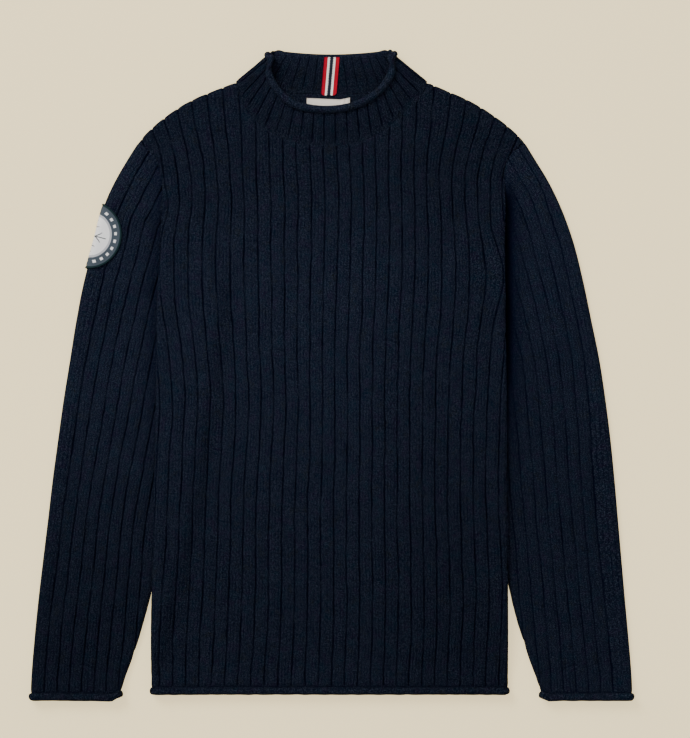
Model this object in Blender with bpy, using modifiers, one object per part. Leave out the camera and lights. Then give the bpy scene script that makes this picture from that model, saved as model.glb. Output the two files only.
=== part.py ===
"""Roll-neck rib-knit sweater laid flat on its back.

Millimetres in the tables, metres in the meshes. Floor at z = 0, neck toward +Y, hem toward -Y,
front of the garment up (+Z), the wearer's right sleeve at -X. Every cloth piece is an open
surface given its wall by a Solidify modifier, so tubes stay open at neck, hem, cuffs and armholes.
"""

import bpy
import numpy as np

MM = 0.001

# ---- cloth and how its layers lie ----
CLOTH = 2.6  # wall of the rib knit
LAY_GAP = 0.4  # air between two layers that lie on each other
SEAM_GAP = 0.7  # between two pieces at a seam, in plan
FOLD_R = 2.6  # middle line of a soft side fold
SLEEVE_LIFT = 6.2  # height at which the body clears the sleeve tucked under it
FOLD_LIFT = 2.6  # how much more it clears the sleeve's thicker inner fold
RAMP_START = -42.0  # the body starts to rise this far before the sleeve
RAMP_END = -16.0  # and has risen fully here
PITCH = CLOTH + LAY_GAP  # middle of one layer to middle of the next
MID_HEIGHT = CLOTH + LAY_GAP / 2  # middle of a pair of layers on the floor
FOLD_EDGE = CLOTH / 2  # the cloth's middle line stands this far inside its outline
FOLD_IN = FOLD_EDGE + FOLD_R  # where a fold meets the flat layer

# ---- rolled raw edges ----
ROLL_FRONT = 3.1  # middle-line radius of the roll on top
ROLL_BACK = 2.4  # of the roll under the back layer
ROLL_FLARE = 1.9  # at the side folds, where the edge only flares
ROLL_STEPS = 6
ROLL_TURN = 270.0
FLARE_TURN = 95.0
ROLL_RISE = 2 * ROLL_BACK  # the back roll lifts its edge by this much
RISE_LENGTH = 34.0
NECK_INSET = 2.4  # width of the narrow rows that finish the neck edge

# ---- body outline: height, edge on the wearer's right (-X), edge on the wearer's left (+X) ----
HEM_LINE = -366.5
BODY_SIDE = (
    (-366.5, -207.0, 203.0),
    (-300.0, -207.6, 203.0),
    (-200.0, -205.6, 202.6),
    (-100.0, -203.4, 201.9),
    (0.0, -201.6, 201.2),
    (90.0, -200.2, 200.1),
    (150.0, -197.0, 199.4),
    (212.0, -193.6, 199.4),
)
BODY_ROWS = (-350.0, -334.0, -300.0, -251.0, -190.0, -120.0, -40.0, 35.0, 98.0, 150.0, 190.0, 212.0)

# ---- armhole seam from the shoulder tip down: x and y on each side ----
ARMHOLE_RIGHT = ((-222.0, 268.5), (-203.0, 251.0), (-197.0, 233.0), (-193.6, 212.0))
ARMHOLE_LEFT = ((222.0, 268.5), (204.5, 251.0), (199.4, 235.0), (199.4, 212.0))
UNDERARM_RIGHT = (-151.0, 98.0)
UNDERARM_LEFT = (155.0, 98.0)

# ---- shoulder line from the tip to the neck: distance from the middle, height ----
SHOULDER = (
    (222.0, 268.5),
    (211.0, 280.0),
    (203.0, 286.9),
    (184.6, 300.7),
    (162.2, 314.5),
    (131.6, 328.3),
    (110.0, 337.5),
)

# ---- neck seam of the front and of the back, and the collar's rim, x and y from -X to +X ----
NECK_FRONT = (
    (-110.0, 337.5), (-101.0, 313.0), (-82.0, 289.0), (-56.0, 273.6), (-28.0, 266.4), (-1.0, 265.0),
    (27.0, 268.0), (54.0, 278.6), (80.0, 299.6), (100.0, 318.5), (110.0, 337.5),
)
NECK_BACK = (
    (-110.0, 337.5), (-101.0, 330.0), (-82.0, 327.6), (-56.0, 326.0), (-28.0, 325.0), (0.0, 324.6),
    (28.0, 325.0), (56.0, 326.0), (82.0, 327.6), (101.0, 330.0), (110.0, 337.5),
)
RIM_FRONT = (
    (-72.5, 350.0), (-63.5, 329.0), (-46.0, 311.5), (-25.0, 304.8), (-1.0, 303.4),
    (24.0, 307.5), (46.0, 318.5), (61.5, 334.0), (69.8, 352.0),
)
RIM_FRONT_HEIGHT = (10.2, 9.4, 8.0, 6.8, 6.4, 6.8, 8.0, 9.4, 10.2)
RIM_BACK_ACROSS = (-66.0, -54.0, -40.0, -20.0, -1.0, 20.0, 40.0, 54.0, 66.0)
RIM_BACK_LINE = 364.4
RIM_BACK_CURVE = 4.0
RIM_CORNER_RIGHT = (-76.3, 366.2)
RIM_CORNER_LEFT = (74.2, 366.8)
COLLAR_CORNER_HEIGHTS = (12.0, 11.2, 9.4, 7.6, 6.8)  # front to back round the side fold
# ---- the way in from the outline at the collar's lower corner, across and down, front to back ----
CORNER_FOOT = ((0.42, 0.9), (0.5, 0.85), (0.6, 0.78), (0.7, 0.7), (0.8, 0.6))
COLLAR_ROWS = 4

# ---- sleeves: height, outer fold right, outer fold left ----
SLEEVE_OUTER = (
    (268.5, -222.0, 222.0),
    (248.0, -235.0, 234.5),
    (225.0, -248.0, 248.6),
    (202.0, -258.9, 260.2),
    (156.0, -271.8, 277.7),
    (110.0, -284.2, 289.4),
    (64.0, -293.6, 299.0),
    (18.0, -301.0, 308.4),
    (-28.0, -308.4, 315.4),
    (-74.0, -314.8, 321.2),
    (-120.0, -321.0, 325.8),
    (-166.0, -326.4, 329.8),
    (-212.0, -332.0, 333.8),
    (-258.0, -337.4, 337.8),
    (-304.0, -342.0, 342.0),
    (-350.0, -345.4, 345.4),
    (-369.0, -345.6, 345.6),
)
# ---- and height, inner fold right, inner fold left; the body hides it above -251 ----
SLEEVE_INNER = (
    (98.0, -151.0, 155.0),
    (30.0, -157.5, 161.0),
    (-40.0, -166.0, 168.5),
    (-120.0, -179.0, 180.0),
    (-190.0, -193.5, 193.0),
    (-251.0, -207.0, 205.5),
    (-281.0, -215.4, 213.0),
    (-304.0, -222.0, 220.0),
    (-327.0, -229.6, 227.5),
    (-350.0, -238.0, 236.0),
    (-369.0, -242.0, 240.6),
)
CUFF_LINE = -373.2
SLEEVE_ROWS = 12
BADGE_ROW = 0.075  # rows on either side of the badge's middle, as a share of the sleeve
SLEEVE_SEAM_STATIONS = (FOLD_IN, 12.0, 26.0, 45.0, 67.0)  # along the armhole from the shoulder tip
SLEEVE_TUCK_STATIONS = (26.0, 12.0, FOLD_IN)  # back from the underarm
SEAM_GAP_SHARE = (0.9, 0.9, 1.0, 1.1, 1.2, 1.0, 1.0, 1.0)  # the armhole gap over those stations
CUFF_STATIONS = (FOLD_IN, 12.0, 26.0, 45.0, 62.0)

# ---- trims ----
PATCH_RADIUS = 39.6
PATCH_HEIGHT_ON_SLEEVE = 159.5
PATCH_SHIFT = -10.1  # its middle lies this far past the outer fold, toward the back
PATCH_WALL = 1.6
SLEEVE_FADE = 34.0  # the sleeve comes down over this length beyond the badge under it
BODY_FADE = 80.0
TAPE_WIDTH = 17.0
TAPE_WALL = 1.0
TAPE_FOOT = 322.4
LABEL_SIZE = (51.0, 24.0)
LABEL_WALL = 0.8
LABEL_PLACE = (-3.1, 307.5)
TRIM_GAP = 0.4
PATCH_GAP = 0.75  # wider, because the badge bends round the fold


def ease(t):
    """Smooth step from 0 to 1."""
    t = np.clip(t, 0.0, 1.0)
    return t * t * (3.0 - 2.0 * t)


def unit(vectors):
    """Vectors scaled to length one."""
    return vectors / np.linalg.norm(vectors, axis=-1, keepdims=True)


def column(table, height, index):
    """A table's column at a height; rows may run up or down."""
    rows = np.array(sorted(table))
    return np.interp(height, rows[:, 0], rows[:, index])


def along(points, distances):
    """Points at distances along a polyline."""
    points = np.array(points, float)
    steps = np.linalg.norm(np.diff(points, axis=0), axis=1)
    length = np.concatenate([[0.0], np.cumsum(steps)])
    return np.stack([np.interp(distances, length, points[:, k]) for k in range(points.shape[1])], -1)


def total(points):
    """Length of a polyline."""
    return np.linalg.norm(np.diff(np.array(points, float), axis=0), axis=1).sum()


def to_polyline(points, line):
    """Shortest plan distance from each point to a polyline."""
    best = np.full(points.shape[:-1], 1e9)
    for a, b in zip(line[:-1], line[1:]):
        run = b - a
        t = np.clip(((points - a) @ run) / (run @ run), 0.0, 1.0)
        best = np.minimum(best, np.linalg.norm(points - (a + t[..., None] * run), axis=-1))
    return best


def inner_fold(side):
    """Inner fold of a sleeve as a polyline, underarm first; side is -1 or +1."""
    index = 1 if side < 0 else 2
    return np.array([(row[index], row[0]) for row in SLEEVE_INNER])


def armhole(side):
    """Armhole seam points of a side, shoulder tip first."""
    return ARMHOLE_RIGHT if side < 0 else ARMHOLE_LEFT


def underarm(side):
    """Hidden lower end of a sleeve's mouth."""
    return UNDERARM_RIGHT if side < 0 else UNDERARM_LEFT


def patch_lift(plan, fade):
    """The sleeve rises this much where the badge lies under it, fading over a length."""
    centre = np.array([column(SLEEVE_OUTER, PATCH_HEIGHT_ON_SLEEVE, 1), PATCH_HEIGHT_ON_SLEEVE])
    distance = np.linalg.norm(plan - centre, axis=-1)
    return (PATCH_WALL + PATCH_GAP + 0.3) * (1 - ease((distance - PATCH_RADIUS - 24) / fade))


def body_lift(plan):
    """How high the body rises over the sleeves tucked under its sides."""
    lift = np.zeros(plan.shape[:-1])
    for side in (-1, 1):
        fold = inner_fold(side)
        line = np.vstack([np.array(armhole(side)[-1]), fold])
        order = np.argsort(line[:, 1])
        edge = np.interp(plan[..., 1], line[order, 1], line[order, 0])
        sign = np.where((plan[..., 0] - edge) * side > 0, 1.0, -1.0)
        past = sign * to_polyline(plan, line)
        past_fold = sign * to_polyline(plan, fold)
        ramp = ease((past - RAMP_START) / (RAMP_END - RAMP_START))
        bulge = ease((past_fold - RAMP_START) / (RAMP_END - RAMP_START))
        bulge = bulge * (1 - ease((past_fold - 10) / 16))
        full = SLEEVE_LIFT + (patch_lift(plan, BODY_FADE) if side < 0 else 0.0)
        lift = np.maximum(lift, full * ramp + FOLD_LIFT * bulge)
    top = armhole(-1)[2][1]
    bottom = armhole(-1)[3][1]
    return lift * ease((top - plan[..., 1]) / (top - bottom))


def edge_rise(distance):
    """Rise of both layers toward a rolled edge, because the back roll lies under them."""
    return ROLL_RISE * (1 - ease(distance / RISE_LENGTH))


def roll_rows(points, travel, outward, tilt, radius, turn):
    """Rows of points that curl a raw edge outward; tilt is the public side's angle above flat."""
    up = np.array([0.0, 0.0, 1.0])
    tilt = np.radians(tilt)[:, None]
    public = np.cos(tilt) * outward + np.sin(tilt) * up
    rows = []
    for step in range(ROLL_STEPS):
        angle = np.radians(turn)[:, None] * (step + 1) / ROLL_STEPS
        shift = travel * np.sin(angle) + public * (1 - np.cos(angle))
        rows.append(points + radius[:, None] * shift)
    return rows


def surface_normals(grid):
    """Unit normals of a grid of points, first index across, second along."""
    across = np.gradient(grid, axis=1)
    along_rows = np.gradient(grid, axis=0)
    return unit(np.cross(across, along_rows))


def panel_plan(neck):
    """Plan of a body panel without its edge strips: rows from the hem's roll up, columns across."""
    inset = FOLD_IN
    fractions = np.array([50.0, 73.0, 94.0]) / 94.0
    neck = np.array(neck)
    neck_side = 103.0
    rows = []
    for y in (HEM_LINE + ROLL_FRONT + CLOTH / 2,) + BODY_ROWS:
        left = column(BODY_SIDE, y, 1)
        right = column(BODY_SIDE, y, 2)
        x_left = [left + inset, left + 12, left + 26] + list(left + (-neck_side - left) * fractions)
        x_right = [right - inset, right - 12, right - 26] + list(right - (right - neck_side) * fractions)
        share = (neck[:, 0] - neck[0, 0]) / (neck[-1, 0] - neck[0, 0])
        middle = -neck_side + 2 * neck_side * share
        xs = np.concatenate([x_left[:-1], middle, x_right[-2::-1]])
        rows.append(np.stack([xs, np.full_like(xs, y)], -1))
    chest = rows[-1].copy()
    chest[:, 1] = armhole(-1)[2][1]
    chest[:, 0] += np.interp(chest[:, 0], (-200, -100, 100, 200), (-3.4, 0, 0, 0.4))
    rows.append(chest)
    shoulder = np.array(SHOULDER)
    far = total(shoulder) * np.array([12.0, 26.0, 50.0, 73.0]) / 94.0
    top_half = along(shoulder, far)
    seam = {side: along(armhole(side), (35.5, 26.0, 12.0, inset)) for side in (-1, 1)}
    outline = np.vstack([top_half * (-1, 1), neck, top_half[::-1]])
    tangent = np.gradient(np.vstack([[-222.0, 268.5], outline, [222.0, 268.5]]), axis=0)[1:-1]
    for corner, inner in ((4, 3), (len(outline) - 5, len(outline) - 4)):
        tangent[corner] = (outline[corner] - outline[inner]) * (1 if inner < corner else -1)
    inward = unit(np.stack([tangent[:, 1], -tangent[:, 0]], -1))
    insets = np.full(len(outline), inset)
    insets[5:-5] = NECK_INSET
    top = outline + insets[:, None] * inward
    ends = [seam[side][3] + (-side * inset * 0.72, inset * 0.5) for side in (-1, 1)]
    top = np.vstack([ends[0], top, ends[1]])
    inward = np.vstack([unit(np.array([0.74, -0.68])), inward, unit(np.array([-0.74, -0.68]))])
    length = np.linalg.norm(top - chest, axis=1)
    share = np.linspace(0, 1, len(top))[:, None]
    for index, reach in enumerate((None, 26.0, 12.0, inset)):
        near = (26.0 - inset) / length if reach is None else (reach - inset) / length
        w = (1 - near) * 0.5 if reach is None else 1 - near
        row = chest + (top - chest) * w[:, None]
        left_side = seam[-1][index] + (inset, 0) if index < 3 else top[0]
        right_side = seam[1][index] - (inset, 0) if index < 3 else top[-1]
        row = row + (1 - share) ** 3 * (left_side - row[0]) + share ** 3 * (right_side - row[-1])
        rows.append(row)
    return np.array(rows), inward


def panel_surface(neck, face):
    """Middle surface of a body panel; face is +1 for the front, -1 for the back."""
    plan, inward = panel_plan(neck)
    column_count = plan.shape[1]
    hem = plan[0, 0, 1]
    lift = np.maximum(body_lift(plan), edge_rise(plan[..., 1] - hem))
    middle = np.concatenate([plan, (MID_HEIGHT + lift)[..., None]], -1)
    normal = surface_normals(middle)
    layer = middle + face * PITCH / 2 * normal

    side_closing = 1 - ease((plan[:, 0, 1] - 140.0) / 70.0)
    top_closing = np.zeros(column_count)
    top_closing[:5] = 1.0
    top_closing[-5:] = 1.0
    top_closing[[5, -6]] = 0.75

    if face > 0:
        layer[-2:, [6, -7], 2] += 0.5
        layer[:, [0, -1], 2] += 2.2 * side_closing[:, None]
        layer[:, [1, -2], 2] += 1.2 * side_closing[:, None]
        layer[-1, :, 2] += 2.2 * top_closing
        layer[-2, :, 2] += 1.2 * top_closing

    centre_shift = FOLD_IN - MID_HEIGHT
    strips = ((1.8, 1.7), (FOLD_EDGE, 0.95))

    def side_strip(base_column, direction):
        columns = []
        base = layer[:, base_column]
        for index, (reach, rise) in enumerate(strips):
            open_reach = (1.9, SEAM_GAP / 2)[index]
            out = FOLD_IN - (reach * side_closing + open_reach * (1 - side_closing))
            closed_z = middle[:, base_column, 2] + centre_shift + face * rise
            blend = side_closing ** (1 + 2 * index)
            z = closed_z * blend + base[:, 2] * (1 - blend)
            columns.append(np.stack([base[:, 0] + direction * out, base[:, 1], z], -1))
        return columns

    left = side_strip(0, -1)
    right = side_strip(-1, 1)
    tip_pull = np.linspace(0, 1, 5) ** 2
    for columns in (left, right):
        for points in columns:
            points[-5:, 1] -= 0.25 * (FOLD_IN - SEAM_GAP) * tip_pull
    wide = np.concatenate(
        [left[1][:, None], left[0][:, None], layer, right[0][:, None], right[1][:, None]], axis=1
    )
    wide_inward = np.vstack([inward[:1], inward[:1], inward, inward[-1:], inward[-1:]])
    closing = np.concatenate([[1.0, 1.0], top_closing, [1.0, 1.0]])
    base = wide[-1]
    top_rows = []
    for index, (reach, rise) in enumerate(strips):
        open_out = (1.1, NECK_INSET - SEAM_GAP / 2)[index]
        out = (FOLD_IN - reach) * closing + open_out * (1 - closing)
        closed_z = MID_HEIGHT + centre_shift + face * rise
        z = closed_z * closing + base[:, 2] * (1 - closing)
        top_rows.append(np.column_stack([base[:, :2] - out[:, None] * wide_inward, z]))
    body = np.concatenate([wide, np.array(top_rows)], axis=0)

    edge = body[0]
    count = len(edge)
    travel = np.tile([0.0, -1.0, 0.0], (count, 1))
    outward = np.where(np.arange(count)[:, None] < count / 2, [[-1.0, 0.0, 0.0]], [[1.0, 0.0, 0.0]])
    tilt, radius, turn = roll_profile(count, face)
    roll = roll_rows(edge, travel, outward, tilt, radius, turn)
    return np.concatenate([np.array(roll[::-1]), body], axis=0)


def roll_profile(count, face):
    """Tilt, radius and turn of a roll over the columns of one layer, flaring at both ends."""
    full = ROLL_FRONT if face > 0 else ROLL_BACK
    tilt = np.full(count, 90.0 * face)
    radius = np.full(count, full)
    turn = np.full(count, ROLL_TURN)
    ends = (
        (12.0, ROLL_FLARE, FLARE_TURN),
        (42.0, ROLL_FLARE + 0.1, 150.0),
        (72.0, 0.6 * full + 0.8, 225.0),
    )
    for index, (angle, size, sweep) in enumerate(ends):
        for place in (index, count - 1 - index):
            tilt[place] = angle * face
            radius[place] = size
            turn[place] = sweep
    return tilt, radius, turn


def badge_share(outer):
    """Share of the outer fold's length from the cuff up to the badge's middle."""
    below = outer[outer[:, 1] < PATCH_HEIGHT_ON_SLEEVE]
    middle = (np.interp(PATCH_HEIGHT_ON_SLEEVE, outer[:, 1], outer[:, 0]), PATCH_HEIGHT_ON_SLEEVE)
    return total(np.vstack([below, middle])) / total(outer)


def sleeve_plan(side):
    """Plan of a sleeve layer: rows from cuff to armhole, columns from outer to inner fold."""
    index = 1 if side < 0 else 2
    outer = np.array([(row[index], row[0]) for row in reversed(SLEEVE_OUTER)])
    inner = inner_fold(side)[::-1]
    cuff = CUFF_LINE + ROLL_FRONT + CLOTH / 2
    outer[0, 1] = cuff
    inner[0, 1] = cuff
    width = abs(inner[0, 0] - outer[0, 0])
    stations = np.array(CUFF_STATIONS + tuple(width - s for s in SLEEVE_TUCK_STATIONS))
    bottom = np.stack([outer[0, 0] - side * stations, np.full(len(stations), cuff)], -1)
    seam = np.array(armhole(side))
    tuck = np.array([seam[-1], underarm(side)])
    mouth = total(seam) + total(tuck)
    tuck_from_tip = mouth - np.array(SLEEVE_TUCK_STATIONS)
    upper = along(seam, SLEEVE_SEAM_STATIONS)
    lower = along(tuck, tuck_from_tip - total(seam))
    away = np.array([side * 0.75, -0.65]) * SEAM_GAP
    top = np.vstack([upper, lower]) + away * np.array(SEAM_GAP_SHARE)[:, None]
    badge = badge_share(outer)
    arm = np.linspace(0.12, badge - BADGE_ROW, SLEEVE_ROWS - 6)
    share = np.concatenate([(0.0, 0.022, 0.05), arm, (badge, badge + BADGE_ROW, 1.0)])
    first = along(outer, share * total(outer))
    last = along(inner, share * total(inner))
    share_bottom = stations / width
    share_top = np.concatenate([SLEEVE_SEAM_STATIONS, tuck_from_tip]) / mouth
    v = share[:, None, None]
    across = (1 - v) * share_bottom[None, :, None] + v * share_top[None, :, None]
    ruled = first[:, None] * (1 - across) + last[:, None] * across
    rows = ruled + (1 - v) ** 3 * (bottom - ruled[0]) + v ** 3 * (top - ruled[-1])
    return rows, first, last


def sleeve_surface(side):
    """Middle surface of a sleeve as rings of points, cuff first, and its outer fold's ring index."""
    plan, first, last = sleeve_plan(side)
    cuff = plan[0, 0, 1]
    rise = edge_rise(plan[..., 1] - cuff)
    if side < 0:
        rise = rise + patch_lift(plan, SLEEVE_FADE)
    swell = np.array([2.2, 1.2, 0, 0, 0, 0, 1.2, 2.2])
    front = np.concatenate([plan, (CLOTH / 2 + PITCH + rise + swell)[..., None]], -1)
    back = np.concatenate([plan, (CLOTH / 2 + rise)[..., None]], -1)

    def fold(base_column, edge):
        """Points round a fold from the front layer to the back layer."""
        run = np.gradient(edge, axis=0)
        out = unit(np.stack([run[:, 1], -run[:, 0]], -1))
        base = plan[:, base_column]
        toward = np.sign(np.sum((edge - base) * out, axis=1, keepdims=True))
        toward[toward == 0] = 1
        out = out * toward
        low = back[:, base_column, 2]
        points = []
        for reach, rise_mid in ((1.8, 1.7), (FOLD_EDGE, 0.0), (1.8, -1.7)):
            plan_points = base + (FOLD_IN - reach) * out
            points.append(np.column_stack([plan_points, low + FOLD_R + rise_mid]))
        return points

    ring = (
        [front[:, k] for k in range(front.shape[1])]
        + fold(-1, last)
        + [back[:, k] for k in range(back.shape[1])][::-1]
        + fold(0, first)[::-1]
    )
    rings = np.stack(ring, axis=1)
    n = front.shape[1]
    count = rings.shape[1]
    travel = np.tile([0.0, -1.0, 0.0], (count, 1))
    outward = np.zeros((count, 3))
    outward[:, 0] = side
    outward[n - 2 : n + 5, 0] = -side
    tilt = np.full(count, 90.0)
    tilt[n + 3 : 2 * n + 3] = -90.0
    radius = np.full(count, ROLL_FRONT)
    radius[n + 3 : 2 * n + 3] = ROLL_BACK
    turn = np.full(count, ROLL_TURN)
    for middle, direction in ((n + 1, 1), (count - 2, -1)):
        for offset, angle, size, sweep in (
            (0, 0.0, ROLL_FLARE, FLARE_TURN),
            (1, 42.0, ROLL_FLARE + 0.1, 150.0),
            (2, 72.0, 2.2, 225.0),
        ):
            for sign in (-1, 1):
                place = (middle + sign * offset) % count
                tilt[place] = -sign * direction * angle
                radius[place] = size
                turn[place] = sweep
    roll = roll_rows(rings[0], travel, outward, tilt, radius, turn)
    return np.concatenate([np.array(roll[::-1]), rings], axis=0), count - 2


def collar_surface():
    """Middle surface of the collar as rings from the neck seam up, and its back's middle place."""
    front = np.array(NECK_FRONT)
    back = np.array(NECK_BACK)
    front_run = np.gradient(front, axis=0)
    front_in = unit(np.stack([-front_run[:, 1], front_run[:, 0]], -1))
    back_run = np.gradient(back, axis=0)
    back_in = unit(np.stack([-back_run[:, 1], back_run[:, 0]], -1))
    seam_front = (front + SEAM_GAP * 0.75 * front_in)[1:-1]
    seam_back = (back + SEAM_GAP * 0.75 * back_in)[1:-1]
    rim_front = np.array(RIM_FRONT)
    across = np.array(RIM_BACK_ACROSS)
    rim_line = RIM_BACK_LINE + RIM_BACK_CURVE * np.minimum(1, (across / 60) ** 2)
    rim_back = np.column_stack([across, rim_line])
    stations = (FOLD_IN, 1.8, FOLD_EDGE, 1.8, FOLD_IN)
    seam_heights = np.array([FOLD_R, 1.7, 0.0, -1.7, -FOLD_R]) + FOLD_IN
    rim_heights = np.array(COLLAR_CORNER_HEIGHTS)

    def corner(side):
        foot = np.array([side * 110.0, 337.5]) + np.array([-side * 0.8, 0.6]) * 1.2
        inward_foot = np.array([(-side * across, -down) for across, down in CORNER_FOOT])
        head = np.array(RIM_CORNER_RIGHT if side < 0 else RIM_CORNER_LEFT)
        inward_head = np.array([-side * 0.77, -0.64])
        low = [np.append(foot + s * way, z) for s, way, z in zip(stations, inward_foot, seam_heights)]
        high = [np.append(head + s * inward_head, z) for s, z in zip(stations, rim_heights)]
        return np.array(low), np.array(high)

    low_right, high_right = corner(-1)
    low_left, high_left = corner(1)
    seam_height = np.full(len(seam_front), CLOTH / 2 + PITCH)
    seam_height[[0, -1]] += 1.0
    low_front = np.column_stack([seam_front, seam_height])
    low_back = np.column_stack([seam_back, np.full(len(seam_back), CLOTH / 2)])
    high_front = np.column_stack([rim_front, RIM_FRONT_HEIGHT])
    high_back = np.column_stack([rim_back, np.full(len(across), CLOTH / 2 + ROLL_RISE)])
    low = np.vstack([low_front, low_left, low_back[::-1], low_right[::-1]])
    high = np.vstack([high_front, high_left, high_back[::-1], high_right[::-1]])
    is_back = np.zeros(len(low), bool)
    is_back[len(low_front) + 3 : len(low_front) + 5 + len(low_back) + 2] = True

    rings = []
    for row in range(COLLAR_ROWS + 1):
        v = row / COLLAR_ROWS
        ring = low + (high - low) * v
        late = low[:, 2] + (high[:, 2] - low[:, 2]) * ease((v - 0.25) / 0.75)
        ring[:, 2] = np.where(is_back, late, ring[:, 2])
        rings.append(ring)

    rim = rings[-1]
    count = len(rim)
    radial = unit((high - low) * (1, 1, 0))
    run = np.roll(rim, -1, axis=0) - np.roll(rim, 1, axis=0)
    square = unit(np.column_stack([-run[:, 1], run[:, 0], np.zeros(count)]) + 1e-9)
    square = square * np.sign(np.sum(square * radial, axis=1, keepdims=True))
    travel = unit(0.5 * radial + 0.5 * square)
    n = len(low_front)
    m = len(low_back)
    outward = np.zeros((count, 3))
    outward[:, 0] = np.where(rim[:, 0] < 0, -1.0, 1.0)
    tilt = np.where(is_back, -90.0, 90.0)
    radius = np.where(is_back, ROLL_BACK, ROLL_FRONT)
    turn = np.full(count, ROLL_TURN)
    for middle, direction in ((n + 2, 1), (n + 5 + m + 2, -1)):
        for offset, angle, size, sweep in (
            (0, 0.0, 1.5, 60.0),
            (1, 42.0, 1.7, 100.0),
            (2, 78.0, 2.1, 190.0),
        ):
            for sign in (-1, 1):
                place = (middle + sign * offset) % count
                tilt[place] = -sign * direction * angle
                radius[place] = size
                turn[place] = sweep
                travel[place] = radial[place]
                side = 1.0 if rim[place, 0] > 0 else -1.0
                outward[place] = (side * travel[place][1], -side * travel[place][0], 0.0)
    roll = roll_rows(rim, travel, outward, tilt, radius, turn)
    return np.array(rings + roll), n + 5 + m // 2


def grid_faces(rows, columns, closed):
    """Quads of a grid of points stored row by row."""
    faces = []
    last = columns if closed else columns - 1
    for row in range(rows - 1):
        here = row * columns
        above = here + columns
        for place in range(last):
            beside = (place + 1) % columns
            faces.append((here + place, here + beside, above + beside, above + place))
    return faces


def cloth_object(name, grid, wall, closed, material, collection):
    """A cloth piece: an open surface from its grid of points, and a Solidify for its wall."""
    rows, columns = grid.shape[:2]
    mesh = bpy.data.meshes.new(name)
    points = grid.reshape(-1, 3) * MM
    mesh.from_pydata([tuple(p) for p in points], [], grid_faces(rows, columns, closed))
    mesh.materials.append(material)
    mesh.validate()
    item = bpy.data.objects.new(name, mesh)
    collection.objects.link(item)
    wall_modifier = item.modifiers.new("wall", "SOLIDIFY")
    wall_modifier.thickness = wall * MM
    wall_modifier.offset = 0.0
    return item


def on_ring(rings, row, place):
    """Point of a grid of rings at a fractional row and ring place."""
    count = rings.shape[1]
    r0 = int(np.clip(np.floor(row), 0, rings.shape[0] - 2))
    c0 = int(np.floor(place)) % count
    c1 = (c0 + 1) % count
    f = row - r0
    g = place - np.floor(place)
    low = rings[r0, c0] * (1 - g) + rings[r0, c1] * g
    high = rings[r0 + 1, c0] * (1 - g) + rings[r0 + 1, c1] * g
    return low * (1 - f) + high * f


def ring_normals(rings):
    """Outward normals of a tube's rings, longer at bends so that an offset keeps its distance."""
    ahead = unit(np.roll(rings, -1, axis=1) - rings)
    behind = unit(rings - np.roll(rings, 1, axis=1))
    up_tube = np.gradient(rings, axis=0)
    normal = unit(np.cross(up_tube, ahead + behind))
    centre = rings.mean(axis=1, keepdims=True)
    sign = np.sign(np.sum(normal[..., 2] * (rings - centre)[..., 2]))
    bend = np.sum(ahead * behind, axis=-1, keepdims=True)
    return normal * sign / np.sqrt((1 + bend) / 2)


def patch_surface(rings, fold_place):
    """Middle surface of the round badge, from the sleeve's own points moved out."""
    normals = ring_normals(rings)
    body = slice(ROLL_STEPS, None)
    sheet = rings[body]
    lift = CLOTH / 2 + PATCH_GAP + PATCH_WALL / 2
    outer = sheet + lift * normals[body]
    heights = sheet[:, fold_place, 1]
    place_row = np.interp(PATCH_HEIGHT_ON_SLEEVE, heights, np.arange(len(heights)))
    row_step = sheet[int(place_row) + 1, fold_place] - sheet[int(place_row), fold_place]
    length_per_row = np.linalg.norm(row_step)
    ring = np.array([on_ring(sheet, place_row, fold_place + k) for k in range(-6, 7)])
    walk = np.concatenate([[0], np.cumsum(np.linalg.norm(np.diff(ring, axis=0), axis=1))])
    walk = walk - walk[6]
    toward_front = 1 if ring[8, 2] > ring[4, 2] else -1
    natural = walk[(walk > -PATCH_RADIUS) & (walk < PATCH_RADIUS)] * toward_front
    reach = 0.975 * PATCH_RADIUS
    shoulder = 0.8 * PATCH_RADIUS
    ends = PATCH_SHIFT + np.array([-reach, -shoulder, shoulder, reach])
    stations = np.sort(np.concatenate([natural, ends]))
    stations = stations[(stations >= ends[0]) & (stations <= ends[-1])]
    keep = np.concatenate([[True], np.diff(stations) > 1.2])
    stations = stations[keep]
    grid = []
    for station in stations:
        half = np.sqrt(max(PATCH_RADIUS ** 2 - (station - PATCH_SHIFT) ** 2, 0.0))
        place = fold_place + np.interp(station * toward_front, walk, np.arange(-6, 7))
        reach_rows = half / length_per_row * np.linspace(-1, 1, 7)
        grid.append([on_ring(outer, place_row + step, place) for step in reach_rows])
    return np.array(grid)


def tape_surface(rings, middle):
    """Middle surface of the hanger tape, from the back of the collar moved up and over its rim."""
    lift = CLOTH / 2 + TRIM_GAP + TAPE_WALL / 2
    line = rings[: COLLAR_ROWS + 2, middle]
    runs = unit(np.diff(line, axis=0))
    before = np.vstack([runs[:1], runs])
    after = np.vstack([runs, runs[-1:]])
    slope = unit(before + after)
    normal = np.column_stack([np.zeros(len(line)), -slope[:, 2], slope[:, 1]])
    bend = np.sum(before * after, axis=1, keepdims=True)
    path = line + lift * normal / np.sqrt((1 + bend) / 2)
    foot = np.array([line[0, 0], TAPE_FOOT, CLOTH + TRIM_GAP + TAPE_WALL / 2])
    path = np.vstack([foot, path])
    lean = np.interp(path[:, 1], (path[0, 1], path[-1, 1]), (-2.4, 1.4))
    grid = []
    for across in np.linspace(-0.5, 0.5, 3):
        shifted = path.copy()
        shifted[:, 0] = lean + across * TAPE_WIDTH
        grid.append(shifted)
    return np.array(grid)


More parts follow.
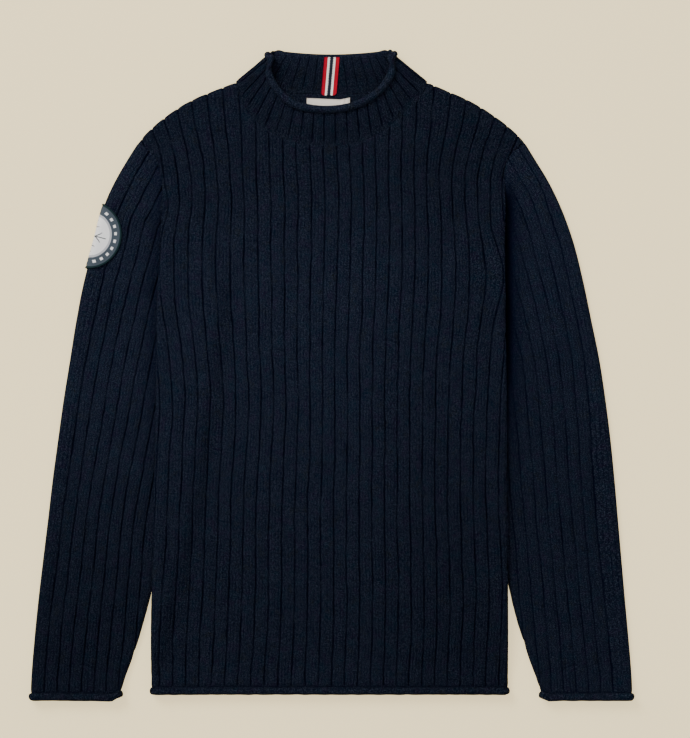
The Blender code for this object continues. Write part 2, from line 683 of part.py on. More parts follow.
def label_surface():
    """Middle surface of the neck label, flat on the inside of the back panel."""
    width, height = LABEL_SIZE
    z = CLOTH + TRIM_GAP + LABEL_WALL / 2
    xs = LABEL_PLACE[0] + np.linspace(-0.5, 0.5, 4) * width
    ys = LABEL_PLACE[1] + np.linspace(-0.5, 0.5, 3) * height
    return np.array([[(x, y, z) for y in ys] for x in xs])


def material(name, colour, roughness):
    """A plain Principled material."""
    made = bpy.data.materials.new(name)
    made.use_nodes = True
    shader = made.node_tree.nodes["Principled BSDF"]
    shader.inputs["Base Color"].default_value = (*colour, 1.0)
    shader.inputs["Roughness"].default_value = roughness
    return made


def build():
    """Make every piece of the sweater."""
    for old in list(bpy.data.objects):
        bpy.data.objects.remove(old, do_unlink=True)
    collection = bpy.data.collections.new("roll_neck_rib_sweater")
    bpy.context.scene.collection.children.link(collection)

    navy = (0.006, 0.009, 0.016)
    front = panel_surface(NECK_FRONT, 1)
    back = panel_surface(NECK_BACK, -1)
    right, fold_place = sleeve_surface(-1)
    left, _ = sleeve_surface(1)
    collar, back_middle = collar_surface()

    def knit(name):
        return material(name + "_knit", navy, 0.9)

    cloth_object("front_panel", front, CLOTH, False, knit("front_panel"), collection)
    cloth_object("back_panel", back, CLOTH, False, knit("back_panel"), collection)
    cloth_object("sleeve_right", right, CLOTH, True, knit("sleeve_right"), collection)
    cloth_object("sleeve_left", left, CLOTH, True, knit("sleeve_left"), collection)
    cloth_object("collar", collar, CLOTH, True, knit("collar"), collection)
    tape = material("tape_woven", (0.62, 0.05, 0.08), 0.7)
    cloth_object("neck_tape", tape_surface(collar, back_middle), TAPE_WALL, False, tape, collection)
    label = material("label_woven", (0.80, 0.76, 0.68), 0.7)
    cloth_object("neck_label", label_surface(), LABEL_WALL, False, label, collection)
    badge = material("patch_embroidery", (0.10, 0.12, 0.14), 0.7)
    cloth_object("arm_patch", patch_surface(right, fold_place), PATCH_WALL, False, badge, collection)


build()
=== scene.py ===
"""Looks of a roll-neck rib-knit sweater that lies flat on its back.

Millimetres in the tables and while a surface is worked out, metres in the meshes. The floor is at
z = 0, the neck toward +Y, the hem toward -Y, the front up. Each cloth piece is a thin closed shell
with its ribs in the mesh: a grid of points on the middle of the cloth, moved out on both faces.
"""

import logging
import math
from collections.abc import Callable
from dataclasses import dataclass, field
from enum import Enum

import bpy
import numpy as np
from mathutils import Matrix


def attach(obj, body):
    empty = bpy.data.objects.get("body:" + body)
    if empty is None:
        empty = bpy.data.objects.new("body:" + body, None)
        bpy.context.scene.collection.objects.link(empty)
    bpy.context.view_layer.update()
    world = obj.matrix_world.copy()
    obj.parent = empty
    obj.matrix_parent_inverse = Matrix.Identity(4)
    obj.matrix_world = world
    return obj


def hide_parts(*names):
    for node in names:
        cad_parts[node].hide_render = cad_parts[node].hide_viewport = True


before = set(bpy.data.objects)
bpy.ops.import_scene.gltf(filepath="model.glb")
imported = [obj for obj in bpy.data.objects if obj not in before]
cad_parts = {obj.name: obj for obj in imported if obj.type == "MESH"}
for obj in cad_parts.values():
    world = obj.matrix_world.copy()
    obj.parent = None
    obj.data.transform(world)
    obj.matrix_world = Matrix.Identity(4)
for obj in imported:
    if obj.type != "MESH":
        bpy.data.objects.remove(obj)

logging.basicConfig(level=logging.INFO, format="%(message)s")
LOG = logging.getLogger("sweater")

Array = np.ndarray
Table = tuple[tuple[float, ...], ...]
Pair = tuple[float, float]
Place = Tone = tuple[float, float, float]
Item = bpy.types.Object
Socket = bpy.types.NodeSocket

MM = 0.001

# ---- cloth and how its layers lie, as in the solids ----
WALL = 2.6  # the knit with its ribs
PITCH = 3.0  # middle of one layer to middle of the next
MID_HEIGHT = 2.8  # middle of a pair of layers on the floor
FOLD_R = 2.6  # middle line of a soft fold
FOLD_CENTRE = FOLD_R + WALL / 2  # height of a fold's middle
FOLD_SPARE = FOLD_R * (math.pi / 2 - 1)  # cloth that a quarter fold takes beyond its reach
FOLD_START = 0.15  # the bend begins this far beyond the edge of the flat cloth
SEAM_HALF = 0.05  # half the gap at a seam: the cloth meets there
SLEEVE_LIFT = 6.2  # the body's rise over a sleeve tucked under its side
FOLD_LIFT = 2.6  # and its further rise over that sleeve's inner fold
RAMP_START = -42.0  # the rise begins this far before the sleeve's line
RAMP_END = -16.0  # and is full this far before it
BULGE_END = (10.0, 16.0)  # past the fold the further rise ends here, over this length
LIFT_END = (212.0, 233.0)  # between these heights all of it fades out
SWELL = 2.2  # the upper layer stands this much higher at a fold
SWELL_FLAT = 4.0  # on the body for this length
SWELL_FADE = 22.0  # and comes down over this one

# ---- rolled raw edges ----
ROLL_FRONT = 3.1  # radius of the upper layer's roll
ROLL_BACK = 2.4  # radius of the lower layer's roll
ROLL_END = 0.9  # at the very fold the roll tightens sideways
ROLL_END_DROP = 2.3  # and stays nearly as tall
ROLL_OPENS = (0.5, 1.9)  # open by this length at the fold already, and full at this one
ROLL_SWEEP = 300.0  # degrees; the looks curl a little further than the solids
ROLL_STEPS = 13  # rows of the hem's and the cuffs' rolls
ROLL_BUMPS = ((0, 80.0), (1, 15.0))  # pattern and wavelength of a roll's unevenness
ROLL_BUMP = 0.05  # and its share of the thickness
ROLL_CREASE = (4.9, 1.25)  # where a roll touches the cloth above its start, and how widely
ROLL_RISE = 2 * ROLL_BACK  # both layers lie on the lower layer's roll
RISE_LENGTH = 34.0  # and come down to the floor over this length
ROLL_ROWS = 9.0  # rows lie close over this length beside a roll
ROLL_ROW_STEP = 1.5  # at this spacing
RIBS_BEGIN = (3.0, 5.0)  # above a roll the ribs begin here and grow over this length
HEM_EDGE, CUFF_EDGE = -366.5, -373.2  # how far down the rolled edges reach
HEM_START = HEM_EDGE + ROLL_FRONT + WALL / 2
CUFF_START = CUFF_EDGE + ROLL_FRONT + WALL / 2

# ---- what the ribs and the seams press into the cloth ----
SEAM_DEPTH, SEAM_WIDTH = 0.7, 2.0
SEAM_STEP = 4.0  # spacing along the seams
# how deep the cloth dents, and how dark its painted shade is, in the crease where a roll touches
# the cloth
CREASE_DEPTH, CREASE_SHADE = 0.5, 0.9  # where a roll touches the cloth
# also the share of a line's painted shade that the hidden face gets
INNER_SHARE = 0.25  # share of a sunk line's depth on the hidden face
SEED_HILLS, SEED_ROLL = 10, 20  # added to a piece's seed

# ---- the badge on the sleeve ----
BADGE_HEIGHT = 159.5
BADGE_RADIUS = 39.6
BADGE_WALL = 1.6
BADGE_GAP = 0.75

# ---- body outline: height, edge on the wearer's right (-X), edge on the wearer's left (+X) ----
SIDE_SPAN = (-372.0, 212.0)  # heights between which a side's edge is read
SIDE_OPENS = (140.0, 70.0)  # from this height, over this length, a side's fold opens
BODY_SIDE: Table = (
    (-366.5, -207.0, 203.0),
    (-300.0, -207.6, 203.0),
    (-200.0, -205.6, 202.6),
    (-100.0, -203.4, 201.9),
    (0.0, -201.6, 201.2),
    (90.0, -200.2, 200.1),
    (150.0, -197.0, 199.4),
    (212.0, -193.6, 199.4),
)
ARMHOLE_RIGHT: Table = ((-193.6, 212.0), (-197.0, 233.0), (-203.0, 251.0), (-222.0, 268.5))
ARMHOLE_LEFT: Table = ((199.4, 212.0), (199.4, 235.0), (204.5, 251.0), (222.0, 268.5))
UNDERARM_RIGHT = (-151.0, 98.0)
UNDERARM_LEFT = (155.0, 98.0)
SHOULDER: Table = (
    (222.0, 268.5),
    (211.0, 280.0),
    (203.0, 286.9),
    (184.6, 300.7),
    (162.2, 314.5),
    (131.6, 328.3),
    (110.0, 337.5),
)
NECK_FRONT: Table = (
    (-110.0, 337.5), (-101.0, 313.0), (-82.0, 289.0), (-56.0, 273.6), (-28.0, 266.4), (-1.0, 265.0),
    (27.0, 268.0), (54.0, 278.6), (80.0, 299.6), (100.0, 318.5), (110.0, 337.5),
)
NECK_BACK: Table = (
    (-110.0, 337.5), (-101.0, 330.0), (-82.0, 327.6), (-56.0, 326.0), (-28.0, 325.0), (0.0, 324.6),
    (28.0, 325.0), (56.0, 326.0), (82.0, 327.6), (101.0, 330.0), (110.0, 337.5),
)

# ---- the body's ribs: height, then x of the twelfth and sixth rib line on the wearer's right,
# ---- of the middle one, and of the sixth and twelfth on the wearer's left; the last row carries
# ---- the lines on past the shoulders, where they are not seen apart
RIBS_BETWEEN = 6.0
RIB_FIRST = -12.0
RIB_LINES: Table = (
    (-344.0, -182.7, -92.6, 0.3, 89.2, 177.4),
    (-316.0, -182.4, -90.3, 1.5, 90.9, 178.7),
    (-258.0, -179.4, -87.7, 2.9, 92.0, 181.2),
    (-201.0, -175.5, -87.1, 2.5, 91.2, 179.6),
    (-143.0, -173.3, -86.4, 2.6, 90.0, 177.2),
    (-86.0, -170.7, -83.1, 4.1, 90.2, 177.4),
    (-28.0, -167.8, -80.4, 4.0, 90.2, 179.4),
    (29.0, -171.9, -82.6, 3.8, 91.5, 182.9),
    (87.0, -179.3, -83.5, 5.6, 94.8, 189.2),
    (153.5, -180.1, -84.9, 7.4, 96.5, 187.7),
    (202.0, -174.8, -85.0, 8.7, 95.7, 182.6),
    (230.5, -177.1, -86.5, 7.6, 94.8, 183.1),
    (259.0, -181.9, -86.9, 6.0, 95.3, 191.4),
    (288.0, -191.0, -87.1, 6.0, 97.2, 203.0),
    (338.0, -202.0, -88.0, 6.0, 99.0, 218.0),
)

# ---- sleeves: height, outer fold on the wearer's right, outer fold on the wearer's left ----
SLEEVE_OUTER: Table = (
    (268.5, -222.0, 222.0),
    (248.0, -235.0, 234.5),
    (225.0, -248.0, 248.6),
    (202.0, -258.9, 260.2),
    (156.0, -271.8, 277.7),
    (110.0, -284.2, 289.4),
    (64.0, -293.6, 299.0),
    (18.0, -301.0, 308.4),
    (-28.0, -308.4, 315.4),
    (-74.0, -314.8, 321.2),
    (-120.0, -321.0, 325.8),
    (-166.0, -326.4, 329.8),
    (-212.0, -332.0, 333.8),
    (-258.0, -337.4, 337.8),
    (-304.0, -342.0, 342.0),
    (-350.0, -345.4, 345.4),
    (-369.0, -345.6, 345.6),
)
SLEEVE_INNER: Table = (
    (98.0, -151.0, 155.0),
    (30.0, -157.5, 161.0),
    (-40.0, -166.0, 168.5),
    (-120.0, -179.0, 180.0),
    (-190.0, -193.5, 193.0),
    (-251.0, -207.0, 205.5),
    (-281.0, -215.4, 213.0),
    (-304.0, -222.0, 220.0),
    (-327.0, -229.6, 227.5),
    (-350.0, -238.0, 236.0),
    (-369.0, -242.0, 240.6),
)
# ---- height, way in from the outer edge to the first rib line, pitch of the ribs; the last row of
# ---- each carries them on to the shoulder tip, where they are not seen apart
SLEEVE_RIBS_RIGHT: Table = (
    (-339.0, 16.2, 14.1), (-293.0, 15.8, 14.4), (-224.0, 16.8, 14.0), (-155.0, 17.0, 13.65),
    (-86.0, 17.8, 14.1), (-40.0, 18.4, 14.5), (6.0, 18.8, 14.6), (52.0, 20.2, 14.8),
    (98.0, 21.0, 15.0), (150.0, 20.5, 15.3), (190.0, 17.8, 16.4), (213.0, 18.9, 16.9),
    (236.0, 17.5, 17.3), (268.0, 16.0, 18.0),
)
SLEEVE_RIBS_LEFT: Table = (
    (-339.0, 22.4, 14.1), (-270.0, 24.1, 13.8), (-201.0, 24.7, 13.7), (-132.0, 25.2, 13.7),
    (-86.0, 23.6, 13.8), (-40.0, 20.5, 14.2), (6.0, 18.4, 14.1), (52.0, 16.4, 14.3),
    (98.0, 16.1, 14.7), (150.0, 16.1, 15.1), (190.0, 14.3, 14.9), (213.0, 11.5, 15.3),
    (268.0, 9.0, 16.0),
)

# ---- the collar's rim, x and y from -X to +X, and its heights ----
RIM_FRONT: Table = (
    (-72.5, 350.0), (-63.5, 329.0), (-46.0, 311.5), (-25.0, 304.8), (-1.0, 303.4),
    (24.0, 307.5), (46.0, 318.5), (61.5, 334.0), (69.8, 352.0),
)
RIM_FRONT_HEIGHT = (10.2, 9.4, 8.0, 6.8, 6.4, 6.8, 8.0, 9.4, 10.2)
RIM_BACK_ACROSS = (-66.0, -54.0, -40.0, -20.0, -1.0, 20.0, 40.0, 54.0, 66.0)
RIM_BACK_LINE = 364.4
RIM_BACK_CURVE, RIM_BACK_REACH = 4.0, 60.0
RIM_CORNER_RIGHT = (-73.9, 368.2)
RIM_CORNER_LEFT = (72.3, 368.6)
COLLAR_CORNER_HEIGHTS = (12.0, 11.2, 9.4, 7.6, 6.8)
CORNER_FOOT: Table = ((0.42, 0.9), (0.5, 0.85), (0.6, 0.78), (0.7, 0.7), (0.8, 0.6))
CORNER_HEAD = (0.77, 0.64)
SEAM_CORNER = (110.44, 338.52)  # where the neck's two seams meet, on either side
CORNER_STATIONS = (FOLD_CENTRE, 1.8, WALL / 2, 1.8, FOLD_CENTRE)
CORNER_SEAM_HEIGHTS = (6.5, 5.6, 3.9, 2.2, 1.3)
CORNER_RADII = (3.2, 2.8, 2.2, 2.3, 2.4)
FRONT_COUNT, BACK_COUNT, CORNER_COUNT = len(RIM_FRONT), len(RIM_BACK_ACROSS), len(CORNER_STATIONS)
COLLAR_PITCH = 13.3  # mean width of the collar's ribs
RIM_STEPS = 14  # rows of the rim's roll


class Layer(Enum):
    """Which layer of the flat garment."""

    FRONT = 1
    BACK = -1


class Side(Enum):
    """Which side of the wearer."""

    RIGHT = -1
    LEFT = 1

    @property
    def column(self) -> int:
        """Column of this side in a table of height, right, left."""
        return 1 if self is Side.RIGHT else 2


# ---- small mathematics ----


def ease(t: Array) -> Array:
    """Smooth step."""
    t = np.clip(t, 0.0, 1.0)
    return t * t * (3.0 - 2.0 * t)


def bell(distance: Array, width: float) -> Array:
    """A soft hump: one at nought, small from one and a half widths on."""
    return np.exp(-((distance / width) ** 2))


def halve(holds: Callable[[Array], Array], low: Array, high: Array, rounds: int) -> Array:
    """Where a test stops holding between two bounds, found by halving.

    Args:
        holds: Tells for each value whether the test holds there.
        low: Values at which it holds.
        high: Values at which it does not.
        rounds: How often the space between is halved.

    Returns:
        The last values at which it held.
    """
    for _ in range(rounds):
        middle = (low + high) / 2
        held = holds(middle)
        low = np.where(held, middle, low)
        high = np.where(held, high, middle)
    return low


def unit(vectors: Array) -> Array:
    """Vectors scaled to length one."""
    return vectors / np.maximum(np.linalg.norm(vectors, axis=-1, keepdims=True), 1e-12)


def smooth_column(table: Table, at: Array, column: int) -> Array:
    """A table's column read along a smooth curve through its rows.

    Args:
        table: Rows whose first column is the place.
        at: Places to read at.
        column: The column's index.

    Returns:
        The column's values at those places.
    """
    rows = np.array(sorted(table))
    x, y = rows[:, 0], rows[:, column]
    slope = np.gradient(y, x)
    at = np.clip(np.asarray(at, float), x[0], x[-1])
    i = np.clip(np.searchsorted(x, at) - 1, 0, len(x) - 2)
    h = x[i + 1] - x[i]
    t = (at - x[i]) / h
    t2, t3 = t * t, t * t * t
    return (
        (2 * t3 - 3 * t2 + 1) * y[i]
        + (t3 - 2 * t2 + t) * h * slope[i]
        + (3 * t2 - 2 * t3) * y[i + 1]
        + (t3 - t2) * h * slope[i + 1]
    )


def run_along(path: Array) -> Array:
    """Distance of each point of a polyline from its first point."""
    return np.concatenate([[0.0], np.cumsum(np.linalg.norm(np.diff(path, axis=0), axis=1))])


def smooth_path(points: Array, step: float) -> Array:
    """A smooth curve through points, sampled evenly.

    Args:
        points: Corner points of the path.
        step: Distance between samples.

    Returns:
        Points along the curve.
    """
    points = np.asarray(points, float)
    run = run_along(points)
    count = max(2, int(round(run[-1] / step)) + 1)
    places = np.linspace(0.0, run[-1], count)
    columns = [
        smooth_column(tuple(zip(run, points[:, k])), places, 1) for k in range(points.shape[1])
    ]
    return np.stack(columns, axis=-1)


def on_path(points: Array, distances: Array) -> Array:
    """Points at distances along a polyline, straight on beyond its ends.

    Args:
        points: The polyline.
        distances: Distances from its first point.

    Returns:
        One point for each distance.
    """
    run = run_along(points)
    distances = np.asarray(distances, float)
    i = np.clip(np.searchsorted(run, distances) - 1, 0, len(run) - 2)
    share = (distances - run[i]) / (run[i + 1] - run[i])
    return points[i] + share[..., None] * (points[i + 1] - points[i])


def path_normals(points: Array) -> Array:
    """Unit normals to the right of a plan path's direction."""
    run = np.gradient(points, axis=0)
    return unit(np.stack([run[:, 1], -run[:, 0]], axis=-1))


def nearest_on_path(places: Array, path: Array, values: Array) -> tuple[Array, Array]:
    """Nearest distance from places to a path, and what the path carries there.

    Args:
        places: Plan points, in the last axis.
        path: The path's points.
        values: What the path carries, one row for each of its points.

    Returns:
        The distances, and the values at the nearest points.
    """
    flat = places.reshape(-1, 2)
    best = np.full(len(flat), 1e9)
    carried = np.zeros((len(flat), values.shape[1]))
    for a, b, va, vb in zip(path[:-1], path[1:], values[:-1], values[1:]):
        run = b - a
        t = np.clip(((flat - a) @ run) / (run @ run), 0.0, 1.0)
        distance = np.linalg.norm(flat - (a + t[:, None] * run), axis=-1)
        closer = distance < best
        best[closer] = distance[closer]
        carried[closer] = va + t[closer, None] * (vb - va)
    shape = places.shape[:-1]
    return best.reshape(shape), carried.reshape(shape + (values.shape[1],))


def distance_to(places: Array, path: Array) -> Array:
    """Nearest distance from plan places to a path."""
    return nearest_on_path(places, path, np.zeros((len(path), 1)))[0]


def ripple(across: Array, along: Array, seed: int, wavelength: float) -> Array:
    """Smooth unevenness, the same on each run.

    Args:
        across: First coordinate.
        along: Second coordinate.
        seed: Which pattern.
        wavelength: Length of its middle waves.

    Returns:
        Values of about -1 to 1.
    """
    waves, scale = 7, 3.2
    draw = np.random.default_rng(seed)
    out = np.zeros(np.broadcast(across, along).shape)
    for _ in range(waves):
        angle = draw.uniform(0, 2 * math.pi)
        pace = 2 * math.pi / (wavelength * draw.uniform(0.6, 1.7))
        phase = draw.uniform(0, 2 * math.pi)
        out = out + np.sin(pace * (across * math.cos(angle) + along * math.sin(angle)) + phase)
    return out / scale


def spread(breaks: Table) -> Array:
    """Places with a spacing that changes from stretch to stretch.

    Args:
        breaks: Rows of start, end and wanted spacing; each starts where the last one ends.

    Returns:
        The places in order, each once.
    """
    parts = []
    for start, end, spacing in breaks:
        count = max(1, int(round(abs(end - start) / spacing)))
        parts.append(np.linspace(start, end, count, endpoint=False))
    return np.concatenate(parts + [[breaks[-1][1]]])


# ---- cloth as a grid ----


@dataclass(frozen=True)
class RibKnit:
    """A wide rib: flat ribs parted by narrow sunk lines."""

    groove_depth: float = 1.3
    groove_width: float = 0.8
    crown: float = 0.35
    wander: float = 0.8
    wander_waves: Table = ((0.55, 0, 70.0), (0.35, 1, 22.0), (0.22, 5, 7.0))
    strength: float = 0.92
    strength_waves: Table = ((0.26, 2, 60.0), (0.16, 3, 12.0))
    strength_span: Pair = (0.35, 1.4)
    uneven: float = 0.12
    phases: tuple[float, ...] = (0.0, 0.045, 0.1, 0.24, 0.5, 0.76, 0.9, 0.955)

    def columns(self, first: float, last: float) -> Array:
        """Rib coordinates at which the cloth is sampled.

        Args:
            first: Lowest rib coordinate.
            last: Highest rib coordinate.

        Returns:
            Coordinates in order, with every rib line among them.
        """
        lines = np.arange(math.floor(first), math.ceil(last) + 1)
        places = (lines[:, None] + np.array(self.phases)).ravel()
        inside = places[(places > first) & (places < last)]
        return np.concatenate([[first], inside, [last]])

    def wandering(self, rib: Array, along: Array, seed: int) -> Array:
        """How far the rib lines stray sideways, in millimetres.

        Args:
            rib: Rib coordinates.
            along: Length along the ribs.
            seed: Which pattern.

        Returns:
            The shift of each place.
        """
        apart = 60.0  # lines this far apart in the pattern stray each on its own
        own = apart * np.round(rib)
        waves = self.wander_waves
        shift = sum(share * ripple(own, along, seed + step, wave) for share, step, wave in waves)
        return self.wander * shift

    def relief(
        self, rib: Array, pitch: Array, along: Array, seed: int
    ) -> tuple[Array, Array, Array]:
        """Height of the ribs, how deep each place lies in a line, and how marked the lines are.

        Args:
            rib: Rib coordinates, whole numbers at the lines.
            pitch: Width of a rib in millimetres.
            along: Length along the ribs.
            seed: Which pattern of unevenness.

        Returns:
            The relief in millimetres, nought on the ribs, the sunk share from 0 to 1, which also
            sets the painted shade in the lines, and the strength of the nearest line.
        """
        apart, face_pitch, face_seed, face_wave = 47.0, 15.0, 4, 11.0
        line = np.round(rib)
        off = np.abs(rib - line)
        waves = self.strength_waves
        strength = sum(
            (share * ripple(apart * line, along, seed + step, wave) for share, step, wave in waves),
            self.strength,
        )
        strength = np.clip(strength, *self.strength_span)
        sunk_and_shade = bell(off * pitch, self.groove_width)
        crown = -self.crown * (1 - 2 * off) ** 2
        uneven = self.uneven * ripple(rib * face_pitch, along, seed + face_seed, face_wave)
        return crown + uneven - self.groove_depth * strength * sunk_and_shade, strength * sunk_and_shade, strength


@dataclass
class ClothGrid:
    """The middle of a cloth piece as a grid, first index along, second across."""

    points: Array
    normals: Array
    rib: Array
    course: Array
    relief: Array
    # sunk share of each place in a line, which also sets its painted shade there
    sunk_and_shade: Array
    lined: Array
    wall: Array | float = WALL
    inner_relief: Array | float = 0.0
    # share of the painted shade that the hidden face gets
    inner_share: float = INNER_SHARE
    joined: bool = False

    def build(self, name: str) -> Item:
        """Make the closed shell of the piece.

        Args:
            name: Name of the new object.

        Returns:
            The new object, linked to the scene.
        """
        inner_out = self.wall / 2 + self.inner_relief + np.zeros(self.relief.shape)
        outer = self.points + self.normals * (self.wall / 2 + self.relief)[..., None]
        inner = self.points - self.normals * inner_out[..., None]
        if self.joined:
            for face in (outer, inner):
                face[:, 0] = (face[:, 0] + face[:, -1]) / 2
                face[:, -1] = face[:, 0]
        rows, columns = self.rib.shape
        count = rows * columns
        index = np.arange(count).reshape(rows, columns)
        sides = [index[:-1, :-1], index[:-1, 1:], index[1:, 1:], index[1:, :-1]]
        quads = [np.stack(sides, -1).reshape(-1, 4)]
        quads.append(quads[0][:, ::-1] + count)
        borders = [index[0, ::-1], index[-1]]
        if not self.joined:
            borders += [index[:, 0], index[::-1, -1]]
        for edge in borders:
            quads.append(np.stack([edge[:-1], edge[:-1] + count, edge[1:] + count, edge[1:]], -1))
        faces = np.concatenate(quads)
        corner_uv = np.stack([self.rib, self.course], -1).reshape(-1, 2)
        marks = np.tile(np.stack([self.sunk_and_shade, self.lined], -1).reshape(-1, 2), (2, 1))
        marks[count:] *= self.inner_share
        points = np.concatenate([outer.reshape(-1, 3), inner.reshape(-1, 3)])
        return make_mesh(name, points, faces, np.tile(corner_uv, (2, 1)), marks)


def linked(name: str, data: bpy.types.ID) -> Item:
    """A new object that shows the data, in the scene."""
    item = bpy.data.objects.new(name, data)
    bpy.context.scene.collection.objects.link(item)
    return item


def make_mesh(
    name: str, points: Array, faces: Array, coordinates: Array, marks: Array
) -> Item:
    """A mesh of welded points, smooth, with its knit coordinates and its marks.

    Args:
        name: Name of the new object.
        points: Points in millimetres.
        faces: Corner indices, four for each face.
        coordinates: Knit coordinates, one pair for each point.
        marks: How deep each place lies in a rib line, which sets its painted shade, and how
        marked the lines are there.

    Returns:
        The new object, linked to the scene.
    """
    _, kept, welded = np.unique(np.round(points, 3), axis=0, return_index=True, return_inverse=True)
    welded = welded.reshape(-1)
    merged = welded[faces]
    follows = np.roll(merged, -1, axis=1)
    whole = np.all(merged != follows, axis=1) & (merged[:, 0] != merged[:, 2])
    whole &= merged[:, 1] != merged[:, 3]
    polygons = [tuple(row) for row in merged[whole].tolist()]
    corners = [tuple(row) for row in faces[whole].tolist()]
    for face, source in zip(merged[~whole], faces[~whole]):
        loop = [k for k in range(4) if face[k] != face[(k + 1) % 4]]
        if len({int(face[k]) for k in loop}) < 3 or len(loop) != len({int(face[k]) for k in loop}):
            continue
        polygons.append(tuple(int(face[k]) for k in loop))
        corners.append(tuple(int(source[k]) for k in loop))
    mesh = bpy.data.meshes.new(name)
    mesh.from_pydata((points[kept] * MM).tolist(), [], polygons)
    layer = mesh.uv_layers.new(name="knit")
    flat = np.array([index for corner in corners for index in corner])
    layer.data.foreach_set("uv", coordinates[flat].astype(np.float32).ravel())
    for column, title in enumerate(("sunk_and_shade", "lined")):
        shade = mesh.attributes.new(title, "FLOAT", "POINT")
        shade.data.foreach_set("value", marks[kept, column].astype(np.float32))
    mesh.polygons.foreach_set("use_smooth", [True] * len(mesh.polygons))
    mesh.update()
    return linked(name, mesh)


def rolled_edge(
    start: Array, public: Array, travel: Array, radius: Array, turn: Array, steps: int, drop: Array
) -> tuple[Array, Array]:
    """Rows that curl a raw edge toward its public face.

    Args:
        start: Points of the edge before the roll.
        public: Unit normals of the public face there.
        travel: Unit directions in which the cloth runs on.
        radius: Radius of the roll at each point, square to the cloth.
        turn: How far it turns, in degrees, at each point.
        steps: Number of rows.
        drop: Radius of the roll at each point, along the cloth.

    Returns:
        Points and public normals of the rows, outermost row last.
    """
    share = (np.arange(steps) + 1.0)[:, None] / steps
    angle = (np.radians(turn)[None, :] * share)[..., None]
    sweep, fall = radius[None, :, None], drop[None, :, None]
    away, up = travel[None], public[None]
    points = start[None] + fall * away * np.sin(angle) + sweep * up * (1 - np.cos(angle))
    normals = unit(fall * up * np.cos(angle) - sweep * away * np.sin(angle))
    return points, normals


def toward_upright(normals: Array) -> Array:
    """Normals of a folded edge turned toward straight up or down, so that its rolls end bluntly.

    Args:
        normals: Unit normals along the edge.

    Returns:
        Unit normals that lean sideways at the very fold only.
    """
    sharpness = 0.22
    upright = np.clip(np.abs(normals[:, 2:]), 0.0, 1.0) ** sharpness
    sideways = unit(normals * (1, 1, 0)) * np.sqrt(1 - upright ** 2)
    return unit(sideways + np.sign(normals[:, 2:] + 1e-9) * upright * (0, 0, 1))


def end_share(across: Array) -> Array:
    """How far a roll has opened at each place of a flat edge, from its folds inward.

    Args:
        across: x of the places.

    Returns:
        The share, from nearly 0 at the two folds to 1.
    """
    inward = np.minimum(across - across.min(), across.max() - across)
    already, full = ROLL_OPENS
    return ease((inward + already) / full)


def roll_bumps(across: Array, seed: int) -> Array:
    """Unevenness of a roll's thickness along its edge, around 1."""
    flat = 0 * across
    waves = (ROLL_BUMP * ripple(across, flat, seed + step, wave) for step, wave in ROLL_BUMPS)
    return sum(waves, 1.0)


def roll_crease(above: Array) -> Array:
    """Share of the sunk crease in which a rolled edge touches the cloth."""
    place, width = ROLL_CREASE
    return bell(above - place, width)


def with_roll(
    points: Array, normals: Array, rib: Array, pitch: Array, course: Array, full: object, seed: int
) -> tuple[Array, ...]:
    """A flat layer's rows with the rows of its rolled lower edge put before them.

    Args:
        points: Points of the middle surface, the edge's row first.
        normals: Their outward normals.
        rib: Their rib coordinates.
        pitch: Their rib pitch.
        course: Their length along the ribs.
        full: Radius of the open roll, one or for each column.
        seed: Which pattern of unevenness.

    Returns:
        The points, normals, rib coordinates, pitch and course, the outermost rolled row first.
    """
    base, base_normal = points[0], toward_upright(normals[0])
    bumps, opened = roll_bumps(base[:, 0], seed), end_share(base[:, 0])
    radius = (ROLL_END + (full - ROLL_END) * opened) * bumps
    drop = (ROLL_END_DROP + (full - ROLL_END_DROP) * opened) * bumps
    turn = np.full(len(base), ROLL_SWEEP)
    travel = np.tile([0.0, -1.0, 0.0], (len(base), 1))
    rolled, rolled_normal = rolled_edge(base, base_normal, travel, radius, turn, ROLL_STEPS, drop)
    share = (np.arange(ROLL_STEPS) + 1.0)[:, None] / ROLL_STEPS
    arc = (radius * np.radians(turn))[None] * share
    return (
        np.concatenate([rolled[::-1], points]),
        np.concatenate([rolled_normal[::-1], normals]),
        np.concatenate([np.repeat(rib[:1], ROLL_STEPS, 0), rib]),
        np.concatenate([np.repeat(pitch[:1], ROLL_STEPS, 0), pitch]),
        np.concatenate([(course[:1] - arc)[::-1], course]),
    )


@dataclass(frozen=True)
class Stray:
    """A place where some rib lines swing sideways."""

    rib: float
    reach: float
    height: float
    span: float
    shift: float

    def at(self, rib: Array, height: Array) -> Array:
        """How far each line swings at each height."""
        over = bell(rib - self.rib, self.reach)
        return self.shift * over * bell(height - self.height, self.span)


@dataclass(frozen=True)
class Crease:
    """A soft ridge or trough between two plan points."""

    start: Pair
    end: Pair
    width: float
    height: float
    ends: float = 0.35
    blunt: float = 0.7

    def lift(self, places: Array) -> Array:
        """Height that the crease adds.

        Args:
            places: Plan points.

        Returns:
            The added height at each point.
        """
        a, b = np.array(self.start), np.array(self.end)
        run = b - a
        t = ((places - a) @ run) / (run @ run)
        distance = np.linalg.norm(places - (a + np.clip(t, 0, 1)[..., None] * run), axis=-1)
        fade = self.ends + (1.0 - self.ends) * np.sin(math.pi * np.clip(t, 0, 1)) ** self.blunt
        return self.height * fade * bell(distance, self.width)


# ---- places that more than one piece needs ----


def inner_fold_path(side: Side) -> Array:
    """A sleeve's inner fold in plan, underarm first."""
    return np.array([(row[side.column], row[0]) for row in SLEEVE_INNER])


def armhole_points(side: Side) -> Table:
    """The armhole seam of a side, its lower end first."""
    return ARMHOLE_RIGHT if side is Side.RIGHT else ARMHOLE_LEFT


def armhole_line(side: Side, points: Array) -> Array:
    """How near each place lies to a side's armhole seam, from 0 to 1."""
    seam = smooth_path(np.array(armhole_points(side)), SEAM_STEP)
    return bell(distance_to(points[..., :2], seam), SEAM_WIDTH)


def underarm_point(side: Side) -> Pair:
    """The hidden lower end of a sleeve's mouth."""
    return UNDERARM_RIGHT if side is Side.RIGHT else UNDERARM_LEFT


